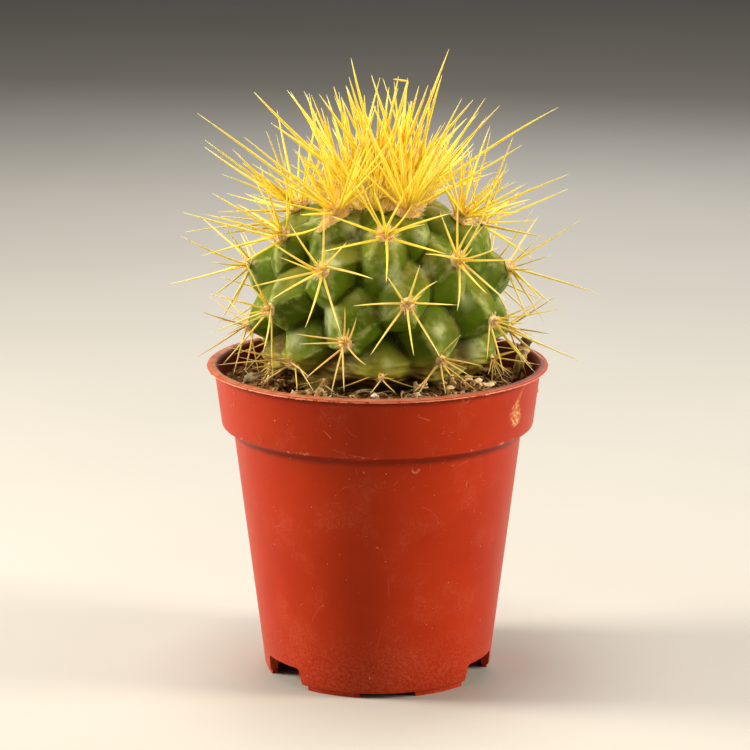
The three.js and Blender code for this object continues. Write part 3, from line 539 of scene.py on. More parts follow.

# %% [markdown]
# ### The skin's finish
# Real cactus skin is waxy and deep green. Shade is painted into the valleys and darker shade into
# their creases, and a pale highlight is painted along the ridges. Its upward faces carry a thin bloom
# that has rubbed off in patches, and a powdery frost that is partly painted highlight; its spots are
# partly bruises and partly painted highlights. The lowest knobs turn yellowish, their hollows brown
# and darkened by painted shade, and at last corky by the soil. Painting an image would need
# unwrapping and would blur close up, so each of these is a mask from the point's height, its facing
# or a stored number, broken up by noise. A frosted or highlighted spot that the photograph shows is
# put where the line of sight through its pixel meets the skin. Five more, two in front and three
# behind, have their places given in millimetres.

# %% The skin's greens, with painted shade in valleys and creases and painted highlights on ridges
SKIN_GREENS = [(0.30, (0.050, 0.096, 0.001)), (0.52, (0.078, 0.142, 0.002)), (0.75, (0.116, 0.194, 0.004))]
VALLEY_SHADE_GREEN = (0.046, 0.062, 0.001)
CREASE_SHADE_GREEN = (0.020, 0.030, 0.001)
RIDGE_HIGHLIGHT = (0.44, 0.48, 0.15)


def skin_green(tree, patches, height):
    green = ramp_of(tree, patches, SKIN_GREENS)
    # painted shade: the valleys between the knobs are darkened
    green = mix_of(tree, fade_of(tree, height, 0.02, 0.36), VALLEY_SHADE_GREEN, green)
    ridge = number_of(tree, "ridge")
    # painted shade: the creases are darkened further
    green = cover(tree, green, CREASE_SHADE_GREEN, 0.8, fade_of(tree, ridge, -0.5, -2.2))
    broken = fade_of(tree, noise_of(tree, 700.0), 0.3, 0.6)
    # painted highlight: a pale line along the ridges, broken up by noise
    return cover(tree, green, RIDGE_HIGHLIGHT, 0.55, fade_of(tree, ridge, 0.25, 1.2), broken)

# %% Find the frosted spots and painted highlights: pixels and places, each with the spot's radius in millimetres
FROST_AND_HIGHLIGHTS_SEEN = {
    (296, 210): 1.8, (311, 221): 2.5, (353, 230): 2.7, (332, 263): 2.4, (328, 318): 3.3,
    (296, 340): 2.4, (430, 206): 1.8, (422, 235): 2.2, (392, 277): 2.9, (440, 330): 2.1,
    (476, 350): 2.7, (388, 366): 1.7,
}
FROST_PLACED = {
    (14.0, -14.4, 63.8): 2.5, (-6.4, -17.0, 59.5): 2.0,
    (4.0, 19.5, 62.0): 2.5, (-15.0, 8.4, 65.8): 2.9, (14.5, 8.4, 60.0): 3.0,
}


def line_of_sight(pixel):
    across, down = (place - IMAGE_PIXELS / 2 for place in pixel)
    way = camera.rotation_euler.to_matrix() @ Vector((across, -down, -VIEW_FOCAL_PIXELS))
    return camera.location / MM, way.normalized()


def find_frost_and_highlight_spots(points, faces):
    skin = BVHTree.FromPolygons(points.tolist(), faces)
    seen = [(skin.ray_cast(*line_of_sight(pixel))[0], radius) for pixel, radius in FROST_AND_HIGHLIGHTS_SEEN.items()]
    return seen + [(Vector(place), radius) for place, radius in FROST_PLACED.items()]


frost_and_highlight_spots = find_frost_and_highlight_spots(flesh_points, flesh_faces)
print("frosted spots:", [tuple(round(v, 1) for v in spot) for spot, radius in frost_and_highlight_spots])

# %% Bloom, frost that is partly painted highlight, and specks
BLOOM = (0.38, 0.29, 0.050)
FROST_AND_HIGHLIGHT = (0.54, 0.60, 0.31)
SPECK_PALE = (0.50, 0.52, 0.26)


def add_bloom(tree, colour, height, upward):
    rubbed = fade_of(tree, noise_of(tree, 240.0, 4.0), 0.30, 0.70)
    on_top = fade_of(tree, upward, 0.05, 0.85)
    return cover(tree, colour, BLOOM, 0.46, on_top, rubbed, fade_of(tree, height, 0.2, 0.5))


def add_frost_and_highlights(tree, colour, z, upward):
    # frost on upward faces, partly a painted highlight on the knobs' upper shoulders
    frost_and_highlight = fade_of(tree, noise_of(tree, 300.0, 4.0, 0.6), 0.53, 0.70)
    more_above = fade_mm(tree, z, 58.0, 74.5, 0.5, 1.0)
    colour = cover(tree, colour, FROST_AND_HIGHLIGHT, 0.5, frost_and_highlight, more_above, fade_of(tree, upward, -0.2, 0.5))
    powder = fade_of(tree, noise_of(tree, 520.0, 4.0, 0.6), 0.26, 0.54)
    # spots of frost, some of them painted highlights where knobs catch the light
    for centre, radius in frost_and_highlight_spots:
        reach = vector_maths_of(tree, "DISTANCE", place_of(tree), centre * MM)
        colour = cover(tree, colour, FROST_AND_HIGHLIGHT, 0.68, fade_mm(tree, reach, radius, 0.1 * radius), powder)
    specks = fade_of(tree, noise_of(tree, 1700.0, 2.0), 0.70, 0.78)
    return cover(tree, colour, SPECK_PALE, 0.35, specks)

# %% Age of the lowest skin: yellowed knobs, browned hollows darkened by painted shade, and cork
YELLOWED = (0.46, 0.43, 0.060)
HOLLOW_BROWN_AND_SHADE = (0.075, 0.040, 0.008)
CORK_BROWNS = [(0.3, (0.085, 0.050, 0.010)), (0.5, (0.21, 0.150, 0.030)), (0.7, (0.38, 0.31, 0.085))]
CORK_TOP = 51.1
CORK_SWAY = 8.0
CORK_DROP_ON_KNOBS = 3.0


def add_age(tree, colour, z, height):
    on_knobs = fade_of(tree, height, 0.25, 0.7, 0.35, 0.85)
    uneven = fade_of(tree, noise_of(tree, 210.0), 0.32, 0.58, 0.35, 1.0)
    colour = cover(tree, colour, YELLOWED, 1.0, fade_mm(tree, z, 57.2, 52.4), on_knobs, uneven)
    # browned hollows, also darkened by painted shade near the soil
    in_hollows = fade_of(tree, height, 0.60, 0.22)
    colour = cover(tree, colour, HOLLOW_BROWN_AND_SHADE, 0.8, fade_mm(tree, z, 58.0, 55.2), in_hollows)
    sway = noise_of(tree, 260.0, 4.0, 0.6, stretch=(1.0, 1.0, 3.0))
    edge = maths_of(tree, "MULTIPLY_ADD", sway, CORK_SWAY * MM, CORK_TOP * MM)
    edge = maths_of(tree, "MULTIPLY_ADD", height, -CORK_DROP_ON_KNOBS * MM, edge)
    below = maths_of(tree, "SUBTRACT", edge, z)
    cork = ramp_of(tree, noise_of(tree, 500.0, 4.0, stretch=(1.0, 1.0, 3.5)), CORK_BROWNS)
    return mix_of(tree, fade_mm(tree, below, -0.8, 1.2, 0.0, 0.9), colour, cork)

# %% Put the skin together and build the flesh with it
def make_skin():
    finish, tree, shader = start_finish(
        "cactus_skin", Subsurface_Weight=0.05, Subsurface_Scale=0.0012,
        Subsurface_Radius=(0.6, 1.0, 0.15), Specular_IOR_Level=0.22,
        Specular_Tint=(1.0, 0.93, 0.32, 1.0),
    )
    patches = noise_of(tree, 170.0, 4.0, 0.6)
    height = number_of(tree, "knob_height")
    z, upward = up_part_of(tree, place_of(tree)), up_part_of(tree, normal_of(tree))
    colour = skin_green(tree, patches, height)
    colour = add_bloom(tree, colour, height, upward)
    colour = add_frost_and_highlights(tree, colour, z, upward)
    colour = add_age(tree, colour, z, height)
    pores = bump_of(tree, noise_of(tree, 2600.0, 2.0), 0.25, 0.05)
    dents = bump_of(tree, noise_of(tree, 380.0), 0.5, 0.22, pores)
    feed(tree, shader, Base_Color=colour, Roughness=spread_of(tree, patches, 0.40, 0.60), Normal=dents)
    return finish


flesh = make_piece(
    "flesh", flesh_points, flesh_faces, make_skin(), "cactus_skin", ["cactus_body"], flesh_numbers
)
print("flesh triangles:", triangles_of(flesh))

# %% [markdown]
# ## Tubes, for spines, fibres and the twig
# Spines and fibres are thin tapering tubes. A curve object with a bevel would do for one of them,
# but hundreds of them are lighter and easier to colour as one mesh: rings of points along a path,
# joined by faces and closed at both ends. Each point remembers how far along its tube it lies.

# %% Build a tube
def tube(path, radii, sides):
    path = np.asarray(path, dtype=float)
    ways = np.gradient(path, axis=0)
    ways /= np.linalg.norm(ways, axis=1, keepdims=True)
    side = np.cross(ways[0], [0.31, 0.22, 0.92])
    side /= np.linalg.norm(side)
    turn = np.arange(sides) * 2 * math.pi / sides
    rings = []
    for point, way, radius in zip(path, ways, radii):
        side = side - way * (side @ way)
        side /= np.linalg.norm(side)
        other = np.cross(way, side)
        rings.append(point + radius * (np.outer(np.cos(turn), side) + np.outer(np.sin(turn), other)))
    faces = [(a, b, c, d) for a, d, c, b in grid_faces(len(path), sides)]
    faces += [face[::-1] for face in end_faces(len(path), sides)]
    along = np.repeat(np.linspace(0, 1, len(path)), sides)
    return np.vstack(rings), faces, along

# %% Gather many small meshes into one
class Gathering:
    def __init__(self):
        self.points, self.faces, self.numbers, self.count = [], [], [], 0

    def add(self, points, faces, numbers):
        self.points.append(points)
        self.faces.extend(tuple(i + self.count for i in face) for face in faces)
        self.numbers.append(numbers)
        self.count += len(points)

    def piece(self, name, finish, slot, stands_for=(), key="along"):
        numbers = {key: np.concatenate(self.numbers)}
        return make_piece(name, np.vstack(self.points), self.faces, finish, slot, stands_for, numbers)

# %% [markdown]
# ## The spines
# A real spine is nearly straight, round, a little bowed, and tapers mostly in its outer half. The
# solid model has them as three-sided needles of true length. The ends of those needles are read
# from the frame, so each fine spine ends exactly where the solid says. More spines are added in the
# crown, where the real plant is densest, always inside the reach of the solid model. One spine of
# the crown has grown crooked and ends in a hook, so its path is given point by point.

# %% Read the needles' ends from a solid
def needle_ends(node):
    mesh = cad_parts[node].data
    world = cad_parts[node].matrix_world
    corners = {}
    index = []
    for vertex in mesh.vertices:
        place = world @ vertex.co / MM
        key = tuple(round(v, 2) for v in place)
        index.append(corners.setdefault(key, len(corners)))
    places = np.array(list(corners))
    joined = {}
    for edge in mesh.edges:
        a, b = index[edge.vertices[0]], index[edge.vertices[1]]
        if a != b:
            joined.setdefault(a, set()).add(b)
            joined.setdefault(b, set()).add(a)
    ends = []
    for a, others in joined.items():
        ways = places[sorted(others)] - places[a]
        ways = ways / np.linalg.norm(ways, axis=1, keepdims=True)
        mean = ways.mean(0)
        if np.linalg.norm(mean) > 0.975:
            ends.append((places[a], mean / np.linalg.norm(mean)))
    return ends

# %% Bow and taper a spine between its root and its tip
SPINE_SIDES = 8
SPINE_RINGS = 11
SPINE_TAPER = ((0.0, 1.0), (0.12, 0.95), (0.35, 0.86), (0.6, 0.70), (0.8, 0.48), (0.93, 0.26), (1.0, 0.07))


def spine_path(root, tip, bow, draws):
    way = tip - root
    length = np.linalg.norm(way)
    aside = np.cross(way, draws.normal(size=3))
    aside /= np.linalg.norm(aside)
    share = np.linspace(0, 1, SPINE_RINGS)[:, None]
    return root + way * share + aside * (bow * length * 4 * share * (1 - share))


def spine_radii(thickest):
    places, widths = zip(*SPINE_TAPER)
    return thickest * np.interp(np.linspace(0, 1, SPINE_RINGS), places, widths)

# %% Length and thickness of the spines by level
SPINE_ROOT_RADIUS = 0.215
SPINE_THINNING = 0.045
OLDER_LEVEL = 6


def usual_length(level):
    older = max(0, level - OLDER_LEVEL)
    return 13.1 - 0.82 * level + 0.02 * level * level - 0.35 * older


def root_radius(level):
    return SPINE_ROOT_RADIUS * math.exp(-SPINE_THINNING * level)

# %% [markdown]
# ### The spines' finish
# Young spines are a clear lemon yellow, grown ones golden, and old ones near the soil turn brown
# and thin. All are a little redder at the root and paler, almost horn-white, at the very tip. Horn
# lets some light through, so the finish has a little subsurface light, and faint cross rings.

# %% Make horn in three ages
HORN_SHADE = (0.94, 0.78, 0.42)
HORN_RINGS = 160.0


def make_horn(name, root, body, tip, tip_start):
    finish, tree, shader = start_finish(
        name, Subsurface_Weight=0.35, Subsurface_Scale=0.0010, Subsurface_Radius=(1.0, 0.7, 0.2),
        Specular_IOR_Level=0.5,
    )
    along = number_of(tree, "along")
    colour = ramp_of(tree, along, [(0.0, root), (0.14, body), (tip_start, body), (1.0, tip)])
    streaks = noise_of(tree, 700.0)
    darker = mix_of(tree, 0.6, colour, HORN_SHADE, "MULTIPLY")
    colour = mix_of(tree, fade_of(tree, streaks, 0.32, 0.58), darker, colour)
    rings = maths_of(tree, "SINE", maths_of(tree, "MULTIPLY", along, HORN_RINGS))
    gloss = spread_of(tree, streaks, 0.30, 0.5)
    feed(tree, shader, Base_Color=colour, Roughness=gloss, Normal=bump_of(tree, rings, 0.15, 0.03))
    return finish


young_horn = make_horn("young_spines", (0.96, 0.58, 0.10), (1.0, 0.755, 0.075), (1.0, 0.82, 0.25), 0.8)
golden_horn = make_horn("golden_spines", (0.92, 0.60, 0.20), (0.94, 0.72, 0.17), (0.88, 0.74, 0.38), 0.82)
aged_horn = make_horn("aged_spines", (0.74, 0.42, 0.16), (0.80, 0.53, 0.17), (0.66, 0.48, 0.27), 0.76)

# %% Add a spine, and keep the added ones inside the solid model's reach
CLUSTER_KNOBS = [k for k in KNOBS if YOUNGEST_CLUSTER_LEVEL <= k["level"] <= LAST_LEVEL]
CROWN_KNOBS = [k for k in KNOBS if k["level"] < YOUNGEST_CLUSTER_LEVEL]
REACH_SPARE = 0.5
spine_draws = np.random.default_rng(11)


def inside_reach(point):
    low, high = (np.array(corner) / MM for corner in cad_box)
    return bool(np.all(point > low - REACH_SPARE) and np.all(point < high + REACH_SPARE))


def grow_spine(gathering, root, tip, radius, bow):
    path = spine_path(root, tip, bow, spine_draws)
    gathering.add(*tube(path, spine_radii(radius), SPINE_SIDES))

# %% Grow the clusters' spines
YOUNG_HORN_BELOW_LEVEL = -1
AGED_HORN_FROM_LEVEL = 5
ROOT_SINK = 0.3
ADDED_SPINE_TILTS = (10, 62)


def added_spines_at(level):
    return 14 if level < -3 else 5 if level < 0 else 1


def horn_at(level):
    if level >= AGED_HORN_FROM_LEVEL:
        return aged_horn, "aged_spines"
    return young_horn if level < YOUNG_HORN_BELOW_LEVEL else golden_horn, "golden_spines"


def added_tip(root, knob):
    tilt = math.radians(spine_draws.uniform(*ADDED_SPINE_TILTS))
    around = spine_draws.uniform(0, 2 * math.pi)
    side = knob["east"] * math.cos(around) + knob["south"] * math.sin(around)
    way = knob["normal"] * math.cos(tilt) + side * math.sin(tilt)
    return root + way * usual_length(knob["level"]) * spine_draws.uniform(0.55, 0.9)


def grow_cluster(number, knob):
    node = f"spine_cluster_{number:02d}"
    spines = Gathering()
    root = knob["tip"] - knob["normal"] * ROOT_SINK
    radius = root_radius(knob["level"])
    ends = needle_ends(node)
    for tip, _ in ends:
        start = root + spine_draws.normal(size=3) * 0.25
        grow_spine(spines, start, tip, radius, spine_draws.uniform(-0.02, 0.035))
    for _ in range(added_spines_at(knob["level"])):
        tip = added_tip(root, knob)
        if inside_reach(tip):
            grow_spine(spines, root + spine_draws.normal(size=3) * 0.3, tip, radius * 0.8, 0.03)
    horn, slot = horn_at(knob["level"])
    spines.piece(f"spines_{number:02d}", horn, slot, [node])
    return len(ends)


grown = [grow_cluster(i + 1, knob) for i, knob in enumerate(CLUSTER_KNOBS)]
print("spines in the clusters:", sum(grown), "fewest:", min(grown), "most:", max(grown))

# %% Grow the crown's true spines, and fill in between them
CROWN_ROOT_Z = 77.6
CROWN_ROOT_SPREAD = 0.9
CROWN_SPINE_RADIUS = 0.40
FILLERS_PER_ROOT = 20
FILLER_TOP = 94.6


def grow_crown_spines(spines, roots):
    ends = needle_ends("crown")
    for tip, back in ends:
        gaps = [np.linalg.norm(np.cross(root - tip, back)) for root in roots]
        start = roots[int(np.argmin(gaps))] + spine_draws.normal(size=3) * 0.35
        grow_spine(spines, start, tip, CROWN_SPINE_RADIUS, spine_draws.uniform(-0.02, 0.03))
    return len(ends)


def grow_filler(spines, root, number):
    tilt = math.radians(spine_draws.uniform(8, 42 + 2.0 * number))
    around = spine_draws.uniform(0, 2 * math.pi)
    way = np.array([math.sin(tilt) * math.cos(around), math.sin(tilt) * math.sin(around), math.cos(tilt)])
    way += np.array([root[0] - BALL_X, root[1], 0]) * 0.055
    reach = way / np.linalg.norm(way) * spine_draws.uniform(6.5, 14.5) * (1 - 0.25 * tilt)
    tip = root + reach * min(1.0, (FILLER_TOP - root[2]) / reach[2])
    if inside_reach(tip):
        start = root + spine_draws.normal(size=3) * 0.8
        grow_spine(spines, start, tip, spine_draws.uniform(0.17, 0.28), 0.03)

# %% The crooked spine
CROOKED_SPINE = [(1.6, -1.0, 78.0), (2.3, -0.5, 85.0), (3.3, 0.0, 91.0), (4.8, 0.0, 96.4), (2.5, 0.0, 96.75)]
CROOKED_RADII = ((0, 0.75, 0.97, 1), (0.3, 0.19, 0.12, 0.04))
CROOKED_RINGS = 53


def bent_path(corners, steps):
    share = np.linspace(0, len(corners) - 1, steps)
    path = np.stack([np.interp(share, range(len(corners)), part) for part in zip(*corners)], -1)
    inner = (path[:-2] + 2 * path[1:-1] + path[2:]) / 4
    return np.vstack([path[:1], inner, path[-1:]])


def grow_crooked_spine(spines):
    radii = np.interp(np.linspace(0, 1, CROOKED_RINGS), *CROOKED_RADII)
    spines.add(*tube(bent_path(CROOKED_SPINE, CROOKED_RINGS), radii, SPINE_SIDES))

# %% The crown's bristles, and the whole crown
WOOL_Z = 80.1
BRISTLES = 240
BRISTLE_REACH = 8.5
BRISTLE_SINK = 2.0
UP = np.array([0.0, 0.0, 1.0])


def spot_at(radius, turn):
    return np.array([radius * math.sin(turn), -radius * math.cos(turn)])


def grow_bristle(spines):
    radius = BRISTLE_REACH * math.sqrt(spine_draws.uniform())
    out = np.array([*spot_at(1.0, spine_draws.uniform(0, 2 * math.pi)), 0.0])
    root = np.array([BALL_X, 0.0, WOOL_Z - BRISTLE_SINK - 0.02 * radius**2]) + out * radius
    way = UP + out * spine_draws.uniform(0.0, 0.09) * radius + spine_draws.normal(size=3) * 0.42
    tip = root + way / np.linalg.norm(way) * spine_draws.uniform(4.0, 9.5)
    grow_spine(spines, root, tip, spine_draws.uniform(0.11, 0.18), 0.05)


def grow_crown():
    spines = Gathering()
    middle = np.array([BALL_X, 0.0, 0.0])
    flat = np.array([CROWN_ROOT_SPREAD, CROWN_ROOT_SPREAD, 0.0])
    roots = [middle + (knob["tip"] - middle) * flat + UP * CROWN_ROOT_Z for knob in CROWN_KNOBS]
    true_spines = grow_crown_spines(spines, roots)
    for root in roots:
        for number in range(FILLERS_PER_ROOT):
            grow_filler(spines, root, number)
    grow_crooked_spine(spines)
    for _ in range(BRISTLES):
        grow_bristle(spines)
    spines.piece("crown_spines", young_horn, "crown_spines", ["crown"])
    return true_spines


print("spines in the crown's solid:", grow_crown())

# %% [markdown]
# ## Felt pads and wool
# Every cluster grows from a pad of short cream felt with reddish flecks, and the youngest ones
# stand in a cushion of wool on top of the ball. Blender's hair would look right here but isn't a
# mesh, so each pad is a lumpy mound with a coat of very fine short fibres made as tiny tubes. On
# one front knob the felt runs down from the pad in a tail, which is a row of ever smaller mounds.

# %% Make felt
def make_felt(name, light, dark, fleck):
    finish, tree, shader = start_finish(
        name, Roughness=0.95, Subsurface_Weight=0.3, Subsurface_Scale=0.0006,
        Subsurface_Radius=(1.0, 0.7, 0.4), Sheen_Weight=0.3, Specular_IOR_Level=0.15,
    )
    colour = ramp_of(tree, noise_of(tree, 1400.0), [(0.35, dark), (0.65, light)])
    colour = cover(tree, colour, fleck, 0.8, fade_of(tree, noise_of(tree, 2300.0, 1.0), 0.62, 0.72))
    feed(tree, shader, Base_Color=colour, Normal=bump_of(tree, noise_of(tree, 5000.0, 2.0), 0.5, 0.1))
    return finish


pad_felt = make_felt("pad_felt", (1.0, 0.84, 0.48), (0.97, 0.61, 0.25), (0.56, 0.12, 0.03))
young_felt = make_felt("young_felt", (1.0, 0.80, 0.34), (1.0, 0.60, 0.17), (0.88, 0.22, 0.05))
crown_wool = make_felt("crown_wool", (1.0, 0.84, 0.34), (0.98, 0.70, 0.20), (0.85, 0.36, 0.07))

# %% Build a lumpy mound
MOUND_RINGS = 7
MOUND_SIDES = 18
MOUND_SINK = 0.35


def sides_of(normal):
    east = np.cross([0.1, 0.2, 1.0] if abs(normal[2]) < 0.9 else [1.0, 0.1, 0.0], normal)
    east /= np.linalg.norm(east)
    return east, np.cross(normal, east)


def dome_height(height, share):
    return height * (1 - share**2) ** 0.6


def add_dome(gathering, centre, normal, radius, height):
    east, north = sides_of(normal)
    rows = []
    for r in range(MOUND_RINGS, 0, -1):
        share = math.sin(math.pi / 2 * r / MOUND_RINGS)
        lift = normal * (dome_height(height, share) - MOUND_SINK)
        for t in np.arange(MOUND_SIDES) * 2 * math.pi / MOUND_SIDES:
            place = centre + radius * share * (math.cos(t) * east + math.sin(t) * north) + lift
            rough = noise.noise(Vector(place * 1.3)) * 0.28 * radius ** 0.5
            rows.append(place + normal * rough * (1.2 - share) + (place - centre) * rough * 0.12)
    faces = grid_faces(MOUND_RINGS, MOUND_SIDES) + end_faces(MOUND_RINGS, MOUND_SIDES)
    gathering.add(np.array(rows), [face[::-1] for face in faces], np.full(len(rows), 0.5))

# %% Coat a mound with fibres
FIBRE_SINK = 0.45
FIBRE_RADII = (0.045, 0.04, 0.012)
FIBRE_SIDES = 3


def add_fibre(gathering, centre, normal, radius, height, length, draws):
    east, north = sides_of(normal)
    share, turn = math.sqrt(draws.uniform(0, 1)), draws.uniform(0, 2 * math.pi)
    out = math.cos(turn) * east + math.sin(turn) * north
    root = centre + radius * share * out + normal * (dome_height(height, share) - FIBRE_SINK)
    way = normal * (1.0 - 0.45 * share) + out * share * 0.9 + draws.normal(size=3) * 0.38
    way *= length * draws.uniform(0.5, 1.1) / np.linalg.norm(way)
    middle = root + way * 0.55 + draws.normal(size=3) * length * 0.12
    gathering.add(*tube([root, middle, root + way], FIBRE_RADII, FIBRE_SIDES))


def mound(gathering, centre, normal, radius, height, fibres, length, seed):
    normal = normal / np.linalg.norm(normal)
    add_dome(gathering, centre, normal, radius, height)
    draws = np.random.default_rng(seed)
    for _ in range(fibres):
        add_fibre(gathering, centre, normal, radius, height, length, draws)

# %% Set the felt pads
PAD_SIZES = ((-6, -4, -3, 0, 5, 9), (2.1, 1.95, 1.5, 1.2, 1.05, 0.7))
PAD_FIBRES = 70
YOUNG_FELT_TO_LEVEL = -4
TAILED_KNOB = (-5, 1)
TAIL = ((1.2, 1.7), (2.2, 1.4), (3.2, 1.05), (4.1, 0.7), (4.8, 0.4))
TAIL_SINK = 0.12


def add_tail(pad, knob):
    for away, radius in TAIL:
        centre = knob["tip"] + knob["south"] * away - knob["normal"] * TAIL_SINK * away
        fibres, seed = round(50 * radius), 160 + round(10 * away)
        mound(pad, centre, knob["normal"], radius, 0.3 + 0.4 * radius, fibres, 0.6, seed)


def set_pad(number, knob):
    pad = Gathering()
    radius = float(np.interp(knob["level"], *PAD_SIZES))
    height, length = 0.35 + 0.55 * radius, 0.45 + 0.4 * radius
    fibres = round(PAD_FIBRES * radius**2)
    mound(pad, knob["tip"], knob["normal"], radius, height, fibres, length, 100 + number)
    if (knob["level"], knob["side"]) == TAILED_KNOB:
        add_tail(pad, knob)
    felt = young_felt if knob["level"] <= YOUNG_FELT_TO_LEVEL else pad_felt
    return pad.piece(f"felt_pad_{number:02d}", felt, "crown_spines")


pads = [set_pad(number, knob) for number, knob in enumerate(CLUSTER_KNOBS, 1)]
print("felt pads:", len(pads), "with triangles:", sum(triangles_of(pad) for pad in pads))

# %% Lay the crown's wool
CUSHION_PLACE = np.array([BALL_X, 0.0, 77.0])
TUFT_SPREAD = np.array([1.1, 1.1, 1.0])
TUFT_LIFT = 0.6


def lay_wool():
    wool = Gathering()
    mound(wool, CUSHION_PLACE, UP, radius=8.3, height=3.2, fibres=1700, length=2.5, seed=5)
    for seed, knob in enumerate(CROWN_KNOBS, 40):
        centre = knob["tip"] * TUFT_SPREAD + UP * TUFT_LIFT
        mound(wool, centre, knob["normal"], radius=2.4, height=2.0, fibres=320, length=1.7, seed=seed)
    return wool.piece("crown_wool", crown_wool, "crown_spines")


print("wool triangles:", triangles_of(lay_wool()))

# %% [markdown]
# ## The soil
# The pot is filled with dark potting mix: fine crumbs, bits of bark, a few white grains and dry
# rootlets. A smooth surface with a bumpy finish reads as mud, so the soil is a rough bed with more
# than a thousand separate crumbs lying on it. Coarser crumbs are piled in a few heaps, mainly at the
# front left and the front right, and they keep clear of the bits that lie open to view.

# %% Level of the soil
SOIL_LEVEL = 48.0
SOIL_FRONT_RISE = 2.1
SOIL_SIDE_DROP = 0.8
SOIL_BACK_DROP = 0.5


def soil_top(x, y):
    radius, azimuth = np.hypot(x, y), np.arctan2(x, -y)
    front = (0.5 + 0.5 * np.cos(azimuth)) ** 2
    crumbs = 0.22 * np.sin(1.9 * x + 0.7) * np.cos(1.6 * y) + 0.16 * np.sin(2.7 * y - 1.3 * x)
    slope = SOIL_FRONT_RISE * front - SOIL_BACK_DROP
    slope = slope - SOIL_SIDE_DROP * np.maximum(0, np.sin(azimuth)) * (1 - front)
    room = 1 - np.minimum(1, radius / BALL_RADIUS) ** BALL_POWER
    under_ball = BALL_Z - BALL_HALF_HEIGHT * room ** (1 / BALL_POWER)
    return np.minimum(SOIL_LEVEL + crumbs + slope, under_ball - 0.5)

# %% The soil's finish
SOIL_TONES = [
    (0.0, (0.060, 0.024, 0.008)), (0.32, (0.170, 0.072, 0.020)), (0.55, (0.345, 0.172, 0.050)),
    (0.76, (0.56, 0.34, 0.125)), (0.9, (0.76, 0.54, 0.28)), (1.0, (0.90, 0.80, 0.62)),
]
SOIL_MOTTLE = [(0.3, (0.55, 0.55, 0.55)), (0.7, (1.0, 1.0, 1.0))]


def make_soil():
    finish, tree, shader = start_finish("soil_mix", Roughness=0.95, Specular_IOR_Level=0.2)
    colour = ramp_of(tree, number_of(tree, "tone"), SOIL_TONES)
    mottle = ramp_of(tree, noise_of(tree, 1500.0), SOIL_MOTTLE)
    colour = mix_of(tree, 1.0, colour, mottle, "MULTIPLY")
    feed(tree, shader, Base_Color=colour, Normal=bump_of(tree, noise_of(tree, 3000.0, 4.0), 0.8, 0.15))
    return finish


soil_finish = make_soil()

# %% Lay the bed, from its hole for the neck outwards and down the inside of the pot
SOIL_COLUMNS = 240
BED_HOLE = ((2.0, 43.6), (9.6, 44.3), (13.1, 45.9))
BED_RADII = np.linspace(14.7, 25.15, 46)
BED_SIDE = ((24.1, 41.6), (22.1, 40.0), (17.3, 3.2))
BED_SINK = 0.12
BED_ROUGHNESS = 0.35
BED_GRAIN = (1.1, 1.1, 1.0)


def bed_ring(turn, radius):
    x, y, _ = ring(turn, radius, 0.0).T
    rough = BED_ROUGHNESS * noise_at(ring(turn, radius, 3.0), BED_GRAIN)
    return ring(turn, radius, soil_top(x, y) - BED_SINK + rough)


def lay_bed():
    turn = np.arange(SOIL_COLUMNS) * 2 * math.pi / SOIL_COLUMNS
    rows = [ring(turn, radius, z) for radius, z in BED_HOLE]
    rows += [bed_ring(turn, radius) for radius in BED_RADII]
    rows += [ring(turn, radius, z) for radius, z in BED_SIDE]
    points = np.vstack(rows)
    faces = grid_faces(len(rows), SOIL_COLUMNS) + end_faces(len(rows), SOIL_COLUMNS)
    tone = 0.3 + 0.25 * noise_at(points, 0.9)
    return make_piece("soil_bed", points, faces, soil_finish, "soil_mix", ["soil"], {"tone": tone})


print("soil bed triangles:", triangles_of(lay_bed()))

# %% Make one lump, for a crumb, a grain or a chip
def lump(size, draws, detail=1, rough=0.35):
    ball = bmesh.new()
    bmesh.ops.create_icosphere(ball, subdivisions=detail, radius=1.0)
    points = np.array([v.co[:] for v in ball.verts])
    faces = [tuple(v.index for v in face.verts) for face in ball.faces]
    ball.free()
    shift = draws.uniform(0, 50, 3)
    swell = 1 + rough * noise_at(points * 1.6 + shift) * 1.6
    points = points * swell[:, None] * np.asarray(size) / 2
    turn = Matrix.Rotation(draws.uniform(0, 6.3), 3, Vector(draws.normal(size=3)).normalized())
    return points @ np.array(turn), faces

# %% Find what the crumbs keep clear of
CLEAR_REACHES = {
    "bark_chip": 2.2, "white_grain_front": 1.3, "white_grain_middle": 1.1, "white_grain_right": 1.3,
}
CLEAR_SHIFT = np.array([0.0, -0.5])
CLEARINGS = []
for node, reach in CLEAR_REACHES.items():
    corners = np.array(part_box(node)) / MM
    CLEARINGS.append((corners.mean(0)[:2] + CLEAR_SHIFT, reach))
    print(node, "size in mm:", (corners[1] - corners[0]).round(1), "at", corners.mean(0).round(1))


def kept_clear(spot):
    return any(math.dist(spot, place) < reach for place, reach in CLEARINGS)

# %% Scatter fine crumbs all over the bed
CRUMBS = 1500
CRUMB_RING = (14.9, 24.9)
LARGEST_CRUMB = 1.5


def scatter_crumbs(crumbs, draws):
    low, high = CRUMB_RING
    for _ in range(CRUMBS):
        radius = math.sqrt(draws.uniform(low**2, high**2))
        x, y = spot_at(radius, draws.uniform(0, 2 * math.pi))
        size = min(LARGEST_CRUMB, 0.38 * math.exp(draws.normal(0.25, 0.42)))
        points, faces = lump(size * draws.uniform(0.6, 1.3, 3), draws)
        place = np.array([x, y, float(soil_top(x, y)) + size * 0.08])
        tone = min(1.0, max(0.0, draws.beta(2.2, 3.2) + (0.25 if draws.uniform() > 0.9 else 0)))
        crumbs.add(points + place, faces, np.full(len(points), tone))

